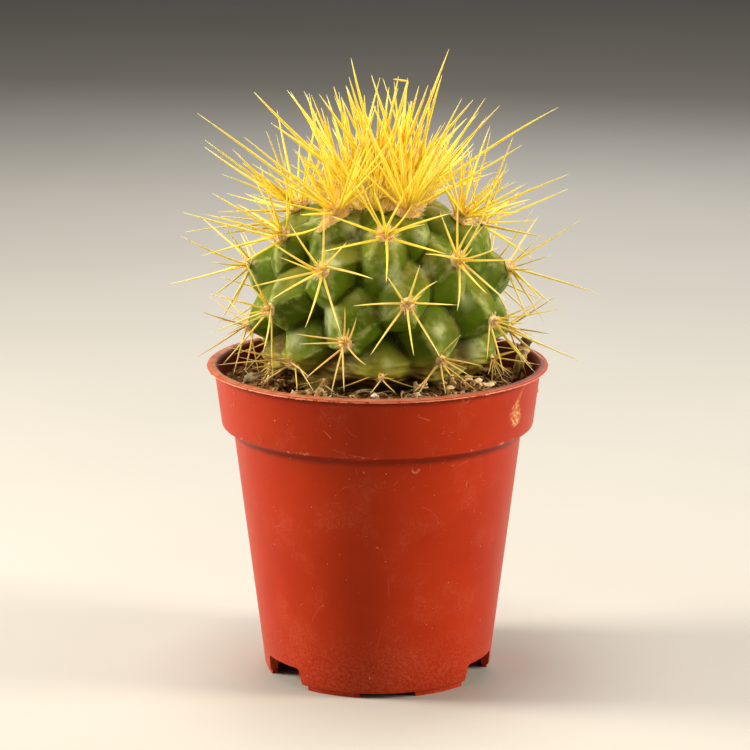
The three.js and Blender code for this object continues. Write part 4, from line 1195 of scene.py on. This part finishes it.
# %% Pile coarser crumbs in heaps, each given by azimuth, radius, spread, rise and count
HEAPS = (
    (-53, 20.4, 3.8, 2.5, 110), (-28, 21.5, 3.0, 0.7, 34), (38, 20.6, 3.8, 2.2, 96),
    (70, 20.0, 3.0, 0.5, 26), (150, 20.0, 4.0, 0.8, 50), (-130, 20.5, 4.0, 0.7, 44),
)
HEAP_RING = (16.5, 23.6)
LARGEST_HEAPED = 2.2


def heap_crumb(crumbs, draws, middle, spread, rise):
    spot = middle + draws.normal(size=2) * spread / 2
    out = math.hypot(*spot)
    spot *= min(HEAP_RING[1], max(HEAP_RING[0], out)) / out
    if kept_clear(spot):
        return
    size = min(LARGEST_HEAPED, 0.75 * math.exp(draws.normal(0.1, 0.4)))
    nearness = max(0.0, 1 - float(((spot - middle) ** 2).sum()) / spread**2)
    height = float(soil_top(*spot)) + rise * nearness * draws.uniform(0, 1) + size * 0.1
    points, faces = lump(size * draws.uniform(0.6, 1.2, 3), draws, 3, 0.55)
    tone = draws.beta(4.0, 3.5) + (0.15 if draws.uniform() > 0.8 else 0)
    bits = noise_at(points * 2.3 + spot[0])
    points = points * (1 + 0.22 * bits / max(1.0, size))[:, None]
    crumbs.add(points + np.array([*spot, height]), faces, np.clip(tone + 0.45 * bits, 0.05, 0.95))


def lay_crumbs():
    draws = np.random.default_rng(3)
    crumbs = Gathering()
    scatter_crumbs(crumbs, draws)
    for azimuth, radius, spread, rise, count in HEAPS:
        middle = spot_at(radius, math.radians(azimuth))
        for _ in range(count):
            heap_crumb(crumbs, draws, middle, spread, rise)
    return crumbs.piece("soil_crumbs", soil_finish, "soil_mix", key="tone")


print("crumb triangles:", triangles_of(lay_crumbs()))

# %% [markdown]
# ## Loose bits on the soil
# A grey bark chip lies at the front left, a few white grains lie about, and a dead stem stands up
# beside the wall. Dry flakes and straws make a litter, thickest at the front right, where the lowest
# knob of all has half dried up. Each has a plain shape of its own: a lump, a tube or a thin curled
# plate, all roughened by noise, so a few short helpers make the whole lot.

# %% Finishes of the loose bits
def make_mottled(name, light, dark, scale, relief_mm, roughness=0.9):
    finish, tree, shader = start_finish(name, Roughness=roughness, Specular_IOR_Level=0.25)
    colour = ramp_of(tree, noise_of(tree, scale, 5.0, 0.65), [(0.32, dark), (0.66, light)])
    relief = bump_of(tree, noise_of(tree, scale * 2.2, 4.0), 0.8, relief_mm)
    feed(tree, shader, Base_Color=colour, Normal=relief)
    return finish


bark_finish = make_mottled("grey_bark", (0.62, 0.50, 0.32), (0.10, 0.060, 0.028), 900.0, 0.3)
grain_finish = make_mottled("white_grain", (0.90, 0.82, 0.68), (0.56, 0.46, 0.34), 1200.0, 0.12)
flake_finish = make_mottled("dry_flakes", (1.0, 0.80, 0.47), (0.80, 0.45, 0.19), 420.0, 0.15)
litter_finish = make_mottled("dry_litter", (0.72, 0.55, 0.33), (0.34, 0.20, 0.09), 900.0, 0.1)

# %% Chip and grains, in the places of their solids
CHIP_GROWTH = (1.15, 1.15, 1.4)
GRAIN_GROWTH = (1.25, 1.2, 1.1)


def lay_lump(node, finish, slot, detail, rough, seed, growth):
    low, high = (np.array(corner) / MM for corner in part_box(node))
    points, faces = lump(high - low, np.random.default_rng(seed), detail, rough)
    points -= (points.max(0) + points.min(0)) / 2
    points = points * (1 + 0.16 * noise_at(points, 1.7))[:, None]
    points *= np.array(growth) * (high - low) / (points.max(0) - points.min(0))
    piece = make_piece(node + "_fine", points + (low + high) / 2, faces, finish, slot, [node])
    print(node, "triangles:", triangles_of(piece))


lay_lump("bark_chip", bark_finish, "grey_bark", 4, 0.45, 21, CHIP_GROWTH)
for seed, node in enumerate(("white_grain_front", "white_grain_middle", "white_grain_right"), 31):
    lay_lump(node, grain_finish, "white_grain", 3, 0.4, seed, GRAIN_GROWTH)

# %% The dead stem's finish: streaky grey wood, a pale ring and a dark broken end
WOOD_GRAIN = [(0.34, (0.16, 0.10, 0.042)), (0.5, (0.58, 0.40, 0.165)), (0.64, (0.95, 0.74, 0.36))]
PALE_RING = (0.86, 0.66, 0.38)
DARK_STUB = (0.055, 0.034, 0.022)


def make_dead_wood():
    finish, tree, shader = start_finish("dead_wood", Roughness=0.9, Specular_IOR_Level=0.25)
    along = number_of(tree, "along")
    grain = noise_of(tree, 620.0, 5.0, 0.65, stretch=(1.0, 1.0, 0.5))
    colour = ramp_of(tree, grain, WOOD_GRAIN)
    ring_start, ring_end = fade_of(tree, along, 0.64, 0.70), fade_of(tree, along, 0.81, 0.77)
    colour = cover(tree, colour, PALE_RING, 0.6, ring_start, ring_end)
    uneven = fade_of(tree, grain, 0.25, 0.5, 0.75, 1.0)
    colour = cover(tree, colour, DARK_STUB, 0.9, fade_of(tree, along, 0.77, 0.83), uneven)
    feed(tree, shader, Base_Color=colour, Normal=bump_of(tree, noise_of(tree, 1300.0, 4.0), 0.8, 0.2))
    return finish

# %% Raise the dead stem
TWIG_PATH = np.array([
    (21.6, 3.4, 41.5), (22.2, 3.8, 46.2), (23.1, 4.4, 49.6), (23.9, 4.6, 52.0), (24.5, 4.8, 54.2),
])
TWIG_RADIUS = 0.8
TWIG_SCARS = ((0.28, 0.16), (0.52, 0.2), (0.74, 0.14), (0.9, 0.18))
SCAR_LENGTH = 0.03
TWIG_RINGS = 60
TWIG_SIDES = 24
TWIG_ROUGHNESS = 0.11
TWIG_GRAIN = 2.2
TWIG_NOISE_SHIFTS = (0.0, 17.3, 41.9)


def raise_twig():
    share = np.linspace(0, 1, TWIG_RINGS)
    known = np.linspace(0, 1, len(TWIG_PATH))
    path = np.stack([np.interp(share, known, part) for part in TWIG_PATH.T], -1)
    path = np.array([path[max(0, i - 3):i + 4].mean(0) for i in range(TWIG_RINGS)])
    radii = TWIG_RADIUS * (0.97 + 0.22 * noise_at(path, 0.9))
    for place, swell in TWIG_SCARS:
        radii = radii * (1 + swell * np.exp(-(((share - place) / SCAR_LENGTH) ** 2)))
    radii[-1] *= 0.6
    points, faces, along = tube(path, radii, TWIG_SIDES)
    rough = [noise_at(points * TWIG_GRAIN + shift) for shift in TWIG_NOISE_SHIFTS]
    points = points + TWIG_ROUGHNESS * np.stack(rough, -1)
    return make_piece("twig_fine", points, faces, make_dead_wood(), "dead_wood", ["twig"], {"along": along})


print("dead stem triangles:", triangles_of(raise_twig()))

# %% Make one flake: a thin curled plate with a ragged edge
FLAKE_CORNERS = 9
HALF_FLAKE_THICKNESS = 0.07


def flake(size, draws, slender):
    turn = (np.arange(FLAKE_CORNERS) + draws.uniform(0, 0.6, FLAKE_CORNERS)) * 2 * math.pi / FLAKE_CORNERS
    reach = size / 2 * draws.uniform(0.4, 1.0, FLAKE_CORNERS)
    rim = np.stack([reach * np.cos(turn), reach * np.sin(turn) * slender], -1)
    plan = np.vstack([rim, rim * 0.5, [[0.0, 0.0]]])
    curl = draws.uniform(0.1, 0.45) / size * (plan[:, 0] ** 2) + draws.normal(size=len(plan)) * 0.04
    top = np.column_stack([plan, curl + HALF_FLAKE_THICKNESS])
    bottom = np.column_stack([plan, curl - HALF_FLAKE_THICKNESS])
    count, faces = len(plan), []
    for i in range(FLAKE_CORNERS):
        j = (i + 1) % FLAKE_CORNERS
        inner_i, inner_j, middle = FLAKE_CORNERS + i, FLAKE_CORNERS + j, 2 * FLAKE_CORNERS
        faces += [(i, j, inner_j, inner_i), (inner_i, inner_j, middle)]
        faces += [(inner_i + count, inner_j + count, j + count, i + count)]
        faces += [(middle + count, inner_j + count, inner_i + count), (i + count, j + count, j, i)]
    spin = Matrix.Rotation(draws.uniform(0, 6.3), 3, "Z") @ Matrix.Rotation(draws.uniform(-1.1, 1.1), 3, "X")
    return np.vstack([top, bottom]) @ np.array(spin).T, faces

# %% Strew the flakes, most of them at the front right
FLAKES = 84
LITTER_AZIMUTH = 40
STAR_FLAKE = (17.9, -3.8, 2.2)
WALL_FLAKE = (26.0, 0.6, 46.0)
WALL_FLAKE_SIZE = np.array([0.9, 0.5, 0.45])


def mostly_front_right(draws, spread, share):
    gathered = draws.uniform() < share
    return math.radians(draws.normal(LITTER_AZIMUTH, spread) if gathered else draws.uniform(0, 360))


def lay_flake(flakes, draws, x, y, size):
    points, faces = flake(size, draws, draws.uniform(0.35, 1.0))
    near = math.exp(-((math.degrees(math.atan2(x, -y)) - LITTER_AZIMUTH) / 25) ** 2)
    level = float(soil_top(x, y)) - points[:, 2].min() + 0.1 + near * draws.uniform(0.2, 2.4)
    tone = draws.uniform(0.74, 0.98)
    flakes.add(points + np.array([x, y, level]), faces, np.full(len(points), tone))


def strew_flakes():
    draws = np.random.default_rng(29)
    flakes = Gathering()
    places = []
    for _ in range(FLAKES):
        azimuth = mostly_front_right(draws, 13, 0.6)
        places.append((*spot_at(draws.uniform(17.8, 23.8), azimuth), draws.uniform(0.9, 2.7)))
    for x, y, size in places + [STAR_FLAKE]:
        if not kept_clear((x, y)):
            lay_flake(flakes, draws, x, y, size)
    points, faces = lump(WALL_FLAKE_SIZE, draws, 2, 0.5)
    flakes.add(points + np.array(WALL_FLAKE), faces, np.full(len(points), 1.0))
    return flakes.piece("dry_flakes", flake_finish, "soil_mix", key="tone")


print("flake triangles:", triangles_of(strew_flakes()))

# %% The lowest knob, half dried up
LOWEST_KNOB = (14.5, -10.2, 52.4)
LOWEST_KNOB_SIZE = (5.8, 3.4, 2.8)
LOWEST_KNOB_TURN = math.radians(-33)
LOWEST_KNOB_FOLDS = (1.2, 4.0, 4.0)

dried_skin = make_mottled("dried_skin", (0.50, 0.42, 0.065), (0.26, 0.17, 0.030), 420.0, 0.15, 0.7)


def add_lowest_knob():
    points, faces = lump(np.ones(3), np.random.default_rng(8), 4, 0.12)
    points /= np.abs(points).max(0)
    narrow = 1 - 0.62 * smoothstep(-0.2, 1.0, points[:, 0])
    points[:, 1:] *= narrow[:, None]
    folds = 1 + 0.12 * noise_at(points, LOWEST_KNOB_FOLDS)
    points = points * folds[:, None] * np.array(LOWEST_KNOB_SIZE) / 2
    points = points @ np.array(Matrix.Rotation(LOWEST_KNOB_TURN, 3, "Z")).T + np.array(LOWEST_KNOB)
    return make_piece("lowest_knob", points, faces, dried_skin, "cactus_skin")


print("lowest knob triangles:", triangles_of(add_lowest_knob()))

# %% Strew the straws and rootlets
STRAWS = 96
STRAW_SIDES = 6
STRAW_SHAPE = np.array([0.5, 0.9, 1, 1, 1, 0.8, 0.4])
INSIDE_POT = 24.9
STRAW_LIFT = 0.25


def straw_path(start, heading, length, lift):
    path = []
    for step in np.linspace(0, 1, len(STRAW_SHAPE)):
        bend = heading + 0.3 * step * math.sin(heading * 3)
        place = start + length * step * np.array([math.cos(bend), math.sin(bend)])
        place *= min(1.0, INSIDE_POT / math.hypot(*place))
        path.append([*place, float(soil_top(*place)) + STRAW_LIFT + lift * math.sin(step * 3.1)])
    return path


def strew_straws():
    draws = np.random.default_rng(17)
    straws = Gathering()
    for _ in range(STRAWS):
        azimuth = mostly_front_right(draws, 20, 0.7)
        start = spot_at(draws.uniform(17.5, 24.3), azimuth)
        heading, length = draws.uniform(0, 2 * math.pi), draws.uniform(1.2, 5.5)
        path = straw_path(start, heading, length, lift=draws.uniform(0.1, 0.9))
        straws.add(*tube(path, draws.uniform(0.05, 0.16) * STRAW_SHAPE, STRAW_SIDES))
    return straws.piece("dry_litter", litter_finish, "dead_wood")


print("straw triangles:", triangles_of(strew_straws()))

# %% [markdown]
# ## The pot
# A nursery pot is thin moulded plastic: a tapered cup, a wider collar, a small lip, and a foot with
# drainage notches. It is turned from one outline, like clay on a wheel, with every edge rounded by
# a few extra points. The lip is then roughened with noise, as real handling leaves it nicked and
# with a ragged burr along its lower edge. The notches are cut with the Boolean modifier, which saves
# building their edges by hand, and its result is kept.

# %% Round the corners of an outline
def rounded(outline, sizes, steps=4):
    points = []
    last = len(outline) - 1
    for i, corner in enumerate(outline):
        if i in (0, last) or sizes[i] == 0:
            points.append(corner)
            continue
        corner = np.array(corner)
        before, after = np.array(outline[i - 1]), np.array(outline[i + 1])
        to_before, to_after = before - corner, after - corner
        cut = min(sizes[i], 0.45 * np.linalg.norm(to_before), 0.45 * np.linalg.norm(to_after))
        start = corner + to_before / np.linalg.norm(to_before) * cut
        end = corner + to_after / np.linalg.norm(to_after) * cut
        for t in np.linspace(0, 1, steps):
            points.append(tuple((1 - t) ** 2 * start + 2 * t * (1 - t) * corner + t * t * end))
    return points

# %% Turn the pot's outline
POT_OUTLINE = [
    ((0.0, 2.0), 0), ((17.3, 2.0), 0.2), ((17.3, 0.8), 0.15), ((18.5, 0.8), 0.25),
    ((23.3, 39.9), 0.35), ((25.2, 41.2), 0.25), ((26.4, 50.55), 0.2), ((27.5, 50.55), 0.12),
    ((27.5, 50.85), 0.14), ((26.3, 51.1), 0.25), ((25.6, 50.55), 0.35), ((24.4, 41.6), 0.5),
    ((22.5, 40.3), 0.5), ((17.95, 2.9), 0.4), ((0.0, 2.9), 0),
]
POT_COLUMNS = 540
LONGEST_STEP = 3.2


def fill_steps(points, longest):
    filled = [points[0]]
    for point in points[1:]:
        last = filled[-1]
        count = max(1, math.ceil(math.dist(last, point) / longest))
        for k in range(1, count + 1):
            filled.append(tuple(a + (b - a) * k / count for a, b in zip(last, point)))
    return filled


def turn_pot():
    corners, sizes = zip(*POT_OUTLINE)
    outline = fill_steps(rounded(list(corners), sizes), LONGEST_STEP)
    turn = np.arange(POT_COLUMNS) * 2 * math.pi / POT_COLUMNS
    rows = [ring(turn, radius, z) for radius, z in outline[1:-1]]
    faces = [face[::-1] for face in grid_faces(len(rows), POT_COLUMNS)]
    return np.vstack(rows), faces + end_faces(len(rows), POT_COLUMNS)

# %% Wear of the lip: a ragged burr below, small nicks above
LIP_FOOT_Z = 50.55
LIP_INSIDE = 26.5
BURR_DROP = 0.12
BURR_REACH = 0.06
NICK_REACH = 0.1
NICK_RISE = 0.03


def worn(points):
    points = points.copy()
    out = np.hypot(points[:, 0], points[:, 1])
    lip = (out >= LIP_INSIDE) & (points[:, 2] >= LIP_FOOT_Z - 0.05)
    x, y, z = points[lip].T
    out = out[lip]
    rough = noise_at(np.stack([x * 0.8, y * 0.8, np.full_like(x, 2.0)], -1))
    fine = noise_at(np.stack([x * 2.4, y * 2.4, np.full_like(x, 7.0)], -1))
    rise = z - LIP_FOOT_Z
    lower = smoothstep(0.22, 0.08, rise) * smoothstep(27.1, 27.4, out)
    upper = smoothstep(0.18, 0.34, rise) * smoothstep(26.4, 27.0, out)
    ragged = np.maximum(0.0, fine + 0.6 * rough)
    shift = lower * BURR_REACH * (0.5 + fine) - upper * NICK_REACH * np.maximum(0.0, rough)
    points[lip, :2] *= (1 + shift / out)[:, None]
    points[lip, 2] += upper * NICK_RISE * fine - lower * BURR_DROP * ragged
    return points

# %% [markdown]
# ### The plastic's finish
# The plastic is a warm terracotta red with a satin shine. It has been handled: the lip is worn pale
# on top and along its burred lower edge, shade is painted under the lip and under the collar, shade
# and dirt are painted inside, and there are fine crooked scratches, cloudy scuffs, a few rings left
# by dried drops and one long lime streak.
# Each mark is a small function that mixes one more colour over what lies under it.

# %% Masks that the marks are made of
def along_way(tree, place, way):
    return vector_maths_of(tree, "DOT_PRODUCT", place, way)


def difference(tree, one, other):
    return maths_of(tree, "ABSOLUTE", maths_of(tree, "SUBTRACT", one, other))


def flat_of(tree, place):
    return vector_maths_of(tree, "MULTIPLY", place, (1.0, 1.0, 0.0))


def far_from_axis(tree, place):
    return vector_maths_of(tree, "LENGTH", flat_of(tree, place))


def outward(tree, place):
    way = vector_maths_of(tree, "NORMALIZE", flat_of(tree, place))
    return vector_maths_of(tree, "DOT_PRODUCT", way, normal_of(tree))

# %% Painted shade under the lip and under the collar, and painted shade with dirt inside
FULL_SHINE = 0.22
PAINTED_SHADE = (0.110, 0.010, 0.002)
INSIDE_SHADE_AND_DIRT = (0.085, 0.011, 0.003)


def add_painted_shade(tree, colour, z, out, facing):
    breakup_noise = noise_of(tree, 300.0, 4.0, 0.6)
    shine = FULL_SHINE
    # painted shade: the wall is darkened just under the lip and under the collar's step, with less shine
    under_lip = times(tree, fade_mm(tree, z, 49.4, 50.3), fade_mm(tree, out, 27.2, 26.8))
    under_collar = times(tree, fade_mm(tree, z, 39.1, 40.1), fade_mm(tree, z, 41.4, 40.9))
    for place, share in ((under_lip, 0.75), (under_collar, 0.7)):
        mask = times(tree, place, fade_of(tree, breakup_noise, 0.15, 0.45))
        colour = cover(tree, colour, PAINTED_SHADE, share, mask)
        shine = maths_of(tree, "SUBTRACT", shine, times(tree, mask, 0.1), clamp=True)
    # painted shade with some dirt: every inward-facing surface of the pot is darkened, unevenly
    inside, uneven = fade_of(tree, facing, 0.1, -0.3), fade_of(tree, breakup_noise, 0.1, 0.6, 0.55, 0.9)
    return cover(tree, colour, INSIDE_SHADE_AND_DIRT, 1.0, inside, uneven), shine

# %% Wear of the lip and of the collar's edge
WORN_PALE = (0.49, 0.200, 0.110)
BURR_PALE = (0.84, 0.34, 0.22)
RIGHTWARD = (1.0, 0.0, 0.0)


def add_wear(tree, colour, z, out):
    rough = noise_of(tree, 450.0, 4.0, 0.7)
    top = times(tree, fade_mm(tree, z, 50.81, 50.89), fade_of(tree, rough, 0.30, 0.62, 0.35, 1.0))
    less_at_right = fade_mm(tree, along_way(tree, place_of(tree), RIGHTWARD), 10.0, 24.0, 1.0, 0.15)
    colour = cover(tree, colour, WORN_PALE, 0.85, top, less_at_right)
    burr = times(tree, fade_mm(tree, z, 50.80, 50.70), fade_mm(tree, out, 27.2, 27.4))
    ragged = fade_of(tree, noise_of(tree, 800.0, 4.0, 0.7), 0.34, 0.5)
    colour = cover(tree, colour, BURR_PALE, 0.9, burr, ragged)
    collar_edge = fade_mm(tree, difference(tree, z, 41.3 * MM), 0.4, 0.1)
    return cover(tree, colour, BURR_PALE, 0.7, collar_edge, fade_of(tree, rough, 0.58, 0.66))

# %% Fine crooked scratches: where a stretched noise crosses its middle value
SCRATCH_PALE = (0.80, 0.34, 0.22)
SCRATCH_RUNS = ((75.0, (1.0, 1.0, 0.5)), (110.0, (1.3, 0.8, 1.1)), (60.0, (0.7, 1.2, 1.6)))


def add_scratches(tree, colour, z):
    more_above = fade_mm(tree, z, 30.0, 42.0, 0.4, 1.0)
    for scale, stretch in SCRATCH_RUNS:
        line = difference(tree, noise_of(tree, scale, 1.0, 0.4, stretch), 0.5)
        line = fade_of(tree, line, 0.0024, 0.0006)
        broken = fade_of(tree, noise_of(tree, scale * 4.3, 2.0, 0.5, stretch), 0.57, 0.63)
        colour = cover(tree, colour, SCRATCH_PALE, 0.27, line, broken, more_above)
    return colour

# %% Cloudy scuffs, powder near the foot and dust
SCUFF_PALE = (0.66, 0.20, 0.12)
DUST_PALE = (0.80, 0.52, 0.36)


def add_scuffs(tree, colour, z):
    cloud = fade_of(tree, noise_of(tree, 130.0, 3.0, 0.6), 0.50, 0.68)
    grain = fade_of(tree, noise_of(tree, 2600.0, 3.0, 0.6), 0.36, 0.64)
    colour = cover(tree, colour, SCUFF_PALE, 0.13, cloud, grain)
    near_foot = fade_mm(tree, z, 14.0, 2.0)
    powder = fade_of(tree, noise_of(tree, 2400.0, 3.0, 0.6), 0.40, 0.64)
    colour = cover(tree, colour, SCUFF_PALE, 0.18, near_foot, powder)
    dust = fade_of(tree, noise_of(tree, 2100.0, 2.0, 0.5), 0.735, 0.79)
    return cover(tree, colour, DUST_PALE, 0.6, dust)

# %% Rings of dried drops, each the lower half of a thin circle
DROP_RINGS = (
    ((5.8, -21.9, 38.9), 0.75), ((11.5, -19.5, 39.0), 0.45), ((14.8, -17.0, 39.2), 0.4),
    ((-14.6, 17.1, 38.2), 0.7), ((3.2, 22.4, 37.5), 0.5),
)


def add_drop_rings(tree, colour, place, z):
    broken = fade_of(tree, noise_of(tree, 1600.0, 3.0, 0.6), 0.35, 0.6)
    for centre, radius in DROP_RINGS:
        reach = vector_maths_of(tree, "DISTANCE", place, Vector(centre) * MM)
        edge = fade_mm(tree, difference(tree, reach, radius * MM), 0.22, 0.06)
        lower_half = fade_mm(tree, z, centre[2] + 0.2, centre[2] - 0.3)
        colour = cover(tree, colour, SCRATCH_PALE, 0.4, edge, lower_half, broken)
    return colour

# %% The lime streak: its height, middle and half width along its run, in mm
STREAK_AZIMUTH = math.radians(57.1)
STREAK_RUN = (
    (43.3, 0.9, 2.0), (44.4, 0.6, 2.4), (46.0, 0.2, 2.2), (47.2, 0.1, 1.6), (48.6, 0.8, 1.2),
    (50.5, 3.0, 0.9),
)
STREAK_LOW, STREAK_HIGH = 43.3, 50.6
STREAK_SCALE = 5.0
STREAK_WANDER = 1.2
LIME = (0.60, 0.27, 0.085)
LIME_GRAIN = (0.80, 0.44, 0.22)


def streak_number(tree, height, column):
    span = STREAK_HIGH - STREAK_LOW
    stops = [((row[0] - STREAK_LOW) / span, (row[column] / STREAK_SCALE,) * 3) for row in STREAK_RUN]
    return maths_of(tree, "MULTIPLY", ramp_of(tree, height, stops), STREAK_SCALE * MM)


def streak_mask(tree, place, height):
    east = (math.cos(STREAK_AZIMUTH), math.sin(STREAK_AZIMUTH), 0.0)
    ahead = (math.sin(STREAK_AZIMUTH), -math.cos(STREAK_AZIMUTH), 0.0)
    middle, half_width = streak_number(tree, height, 1), streak_number(tree, height, 2)
    wander = maths_of(tree, "MULTIPLY", noise_of(tree, 700.0, 4.0, 0.6), STREAK_WANDER * MM)
    away = maths_of(tree, "ADD", difference(tree, along_way(tree, place, east), middle), wander)
    share = maths_of(tree, "DIVIDE", away, half_width)
    at_front = fade_mm(tree, along_way(tree, place, ahead), 18.0, 19.0)
    ends = times(tree, fade_of(tree, height, 0.0, 0.08), fade_of(tree, height, 1.0, 0.97))
    return times(tree, fade_of(tree, share, 1.1, 0.5), at_front, ends)


def add_streak(tree, colour, place, z):
    ends = {"Value": z, "From Min": STREAK_LOW * MM, "From Max": STREAK_HIGH * MM}
    height = add_node(tree, "ShaderNodeMapRange", ends).outputs["Result"]
    streak = streak_mask(tree, place, height)
    grains = noise_of(tree, 1900.0, 2.0, 0.6)
    colour = cover(tree, colour, LIME, 1.0, streak, fade_of(tree, grains, 0.36, 0.60, 0.15, 0.8))
    crumbly = times(tree, fade_of(tree, grains, 0.51, 0.59), fade_mm(tree, z, 47.8, 46.0))
    return cover(tree, colour, LIME_GRAIN, 0.9, streak, crumbly)

# %% Put the plastic together
TERRACOTTA = [(0.3, (0.375, 0.0185, 0.001)), (0.7, (0.455, 0.0265, 0.002))]


def make_plastic():
    finish, tree, shader = start_finish(
        "pot_plastic", Subsurface_Weight=0.05, Subsurface_Scale=0.0012,
        Subsurface_Radius=(1.0, 0.3, 0.1), Specular_Tint=(1.0, 0.62, 0.38, 1.0),
    )
    place = place_of(tree)
    z, out = up_part_of(tree, place), far_from_axis(tree, place)
    clouds = noise_of(tree, 60.0, 4.0, 0.6)
    colour = ramp_of(tree, clouds, TERRACOTTA)
    colour = add_scuffs(tree, colour, z)
    colour = add_scratches(tree, colour, z)
    colour = add_drop_rings(tree, colour, place, z)
    colour, shine = add_painted_shade(tree, colour, z, out, outward(tree, place))
    colour = add_wear(tree, colour, z, out)
    colour = add_streak(tree, colour, place, z)
    gloss = spread_of(tree, clouds, 0.36, 0.48)
    fine = bump_of(tree, noise_of(tree, 1800.0), 0.12, 0.04)
    lines = bump_of(tree, noise_of(tree, 900.0, 5.0, 0.7, stretch=(1.0, 1.0, 0.06)), 0.12, 0.05, fine)
    feed(tree, shader, Base_Color=colour, Roughness=gloss, Normal=lines, Specular_IOR_Level=shine)
    return finish

# %% Blocks for the foot: sectors of a ring, with flared or straight sides
def sector(inner, outer, start, end, levels, steps=14):
    middle, half = (start + end) / 2, (end - start) / 2
    points, faces = [], []
    for z, share in levels:
        turn = np.radians(middle + half * share * np.linspace(-1, 1, steps))
        points += [ring(turn, inner, z), ring(turn, outer, z)]
    first = lambda level, side: (2 * level + side) * steps
    top = len(levels) - 1
    for i in range(steps - 1):
        for level in range(top):
            for side in (0, 1):
                a, b = first(level, side) + i, first(level + 1, side) + i
                faces.append((a, a + 1, b + 1, b))
        for level in (0, top):
            a, b = first(level, 0) + i, first(level, 1) + i
            faces.append((a, a + 1, b + 1, b))
    for level in range(top):
        for i in (0, steps - 1):
            corners = ((level, 0), (level, 1), (level + 1, 1), (level + 1, 0))
            faces.append(tuple(first(*corner) + i for corner in corners))
    return np.vstack(points), faces


def block(name, points, faces):
    mesh = bpy.data.meshes.new(name)
    mesh.from_pydata((points * MM).tolist(), [], faces)
    body = bmesh.new()
    body.from_mesh(mesh)
    bmesh.ops.recalc_face_normals(body, faces=body.faces)
    body.to_mesh(mesh)
    body.free()
    helper = bpy.data.objects.new(name, mesh)
    bpy.context.scene.collection.objects.link(helper)
    return helper

# %% Cut the notches and add the pads between them
NOTCH_CENTRE = -55.6
NOTCH_HALF_ANGLE = 15.9
NOTCH_RADII = (15.75, 20.5)
NOTCH_LEVELS = ((-1.0, 1.0), (3.15, 0.84), (3.4, 0.81), (3.55, 0.74))
PAD_RADII = (17.35, 18.1)
PAD_LEVELS = ((0.0, 1.0), (1.5, 1.0))
PAD_SPANS = ((-38.0, -9.0), (19.5, 48.6))
SHARP_EDGE = math.radians(40)


def foot_blocks():
    for third in (0, 120, 240):
        start, end = NOTCH_CENTRE + third - NOTCH_HALF_ANGLE, NOTCH_CENTRE + third + NOTCH_HALF_ANGLE
        yield "DIFFERENCE", block("notch", *sector(*NOTCH_RADII, start, end, NOTCH_LEVELS))
        for start, end in PAD_SPANS:
            yield "UNION", block("foot_pad", *sector(*PAD_RADII, start + third, end + third, PAD_LEVELS))


def build_pot():
    points, faces = turn_pot()
    pot = make_piece("pot_fine", worn(points), faces, make_plastic(), "pot_plastic", ["pot"])
    helpers = list(foot_blocks())
    for operation, helper in helpers:
        step = pot.modifiers.new(operation.lower(), "BOOLEAN")
        step.operation = operation
        step.object = helper
        step.solver = "EXACT"
    shape = pot.evaluated_get(bpy.context.evaluated_depsgraph_get())
    mesh = bpy.data.meshes.new_from_object(shape)
    pot.modifiers.clear()
    pot.data = mesh
    for _, helper in helpers:
        bpy.data.objects.remove(helper)
    pot.data.shade_smooth()
    pot.data.set_sharp_from_angle(angle=SHARP_EDGE)
    return pot


print("pot triangles:", triangles_of(build_pot()))
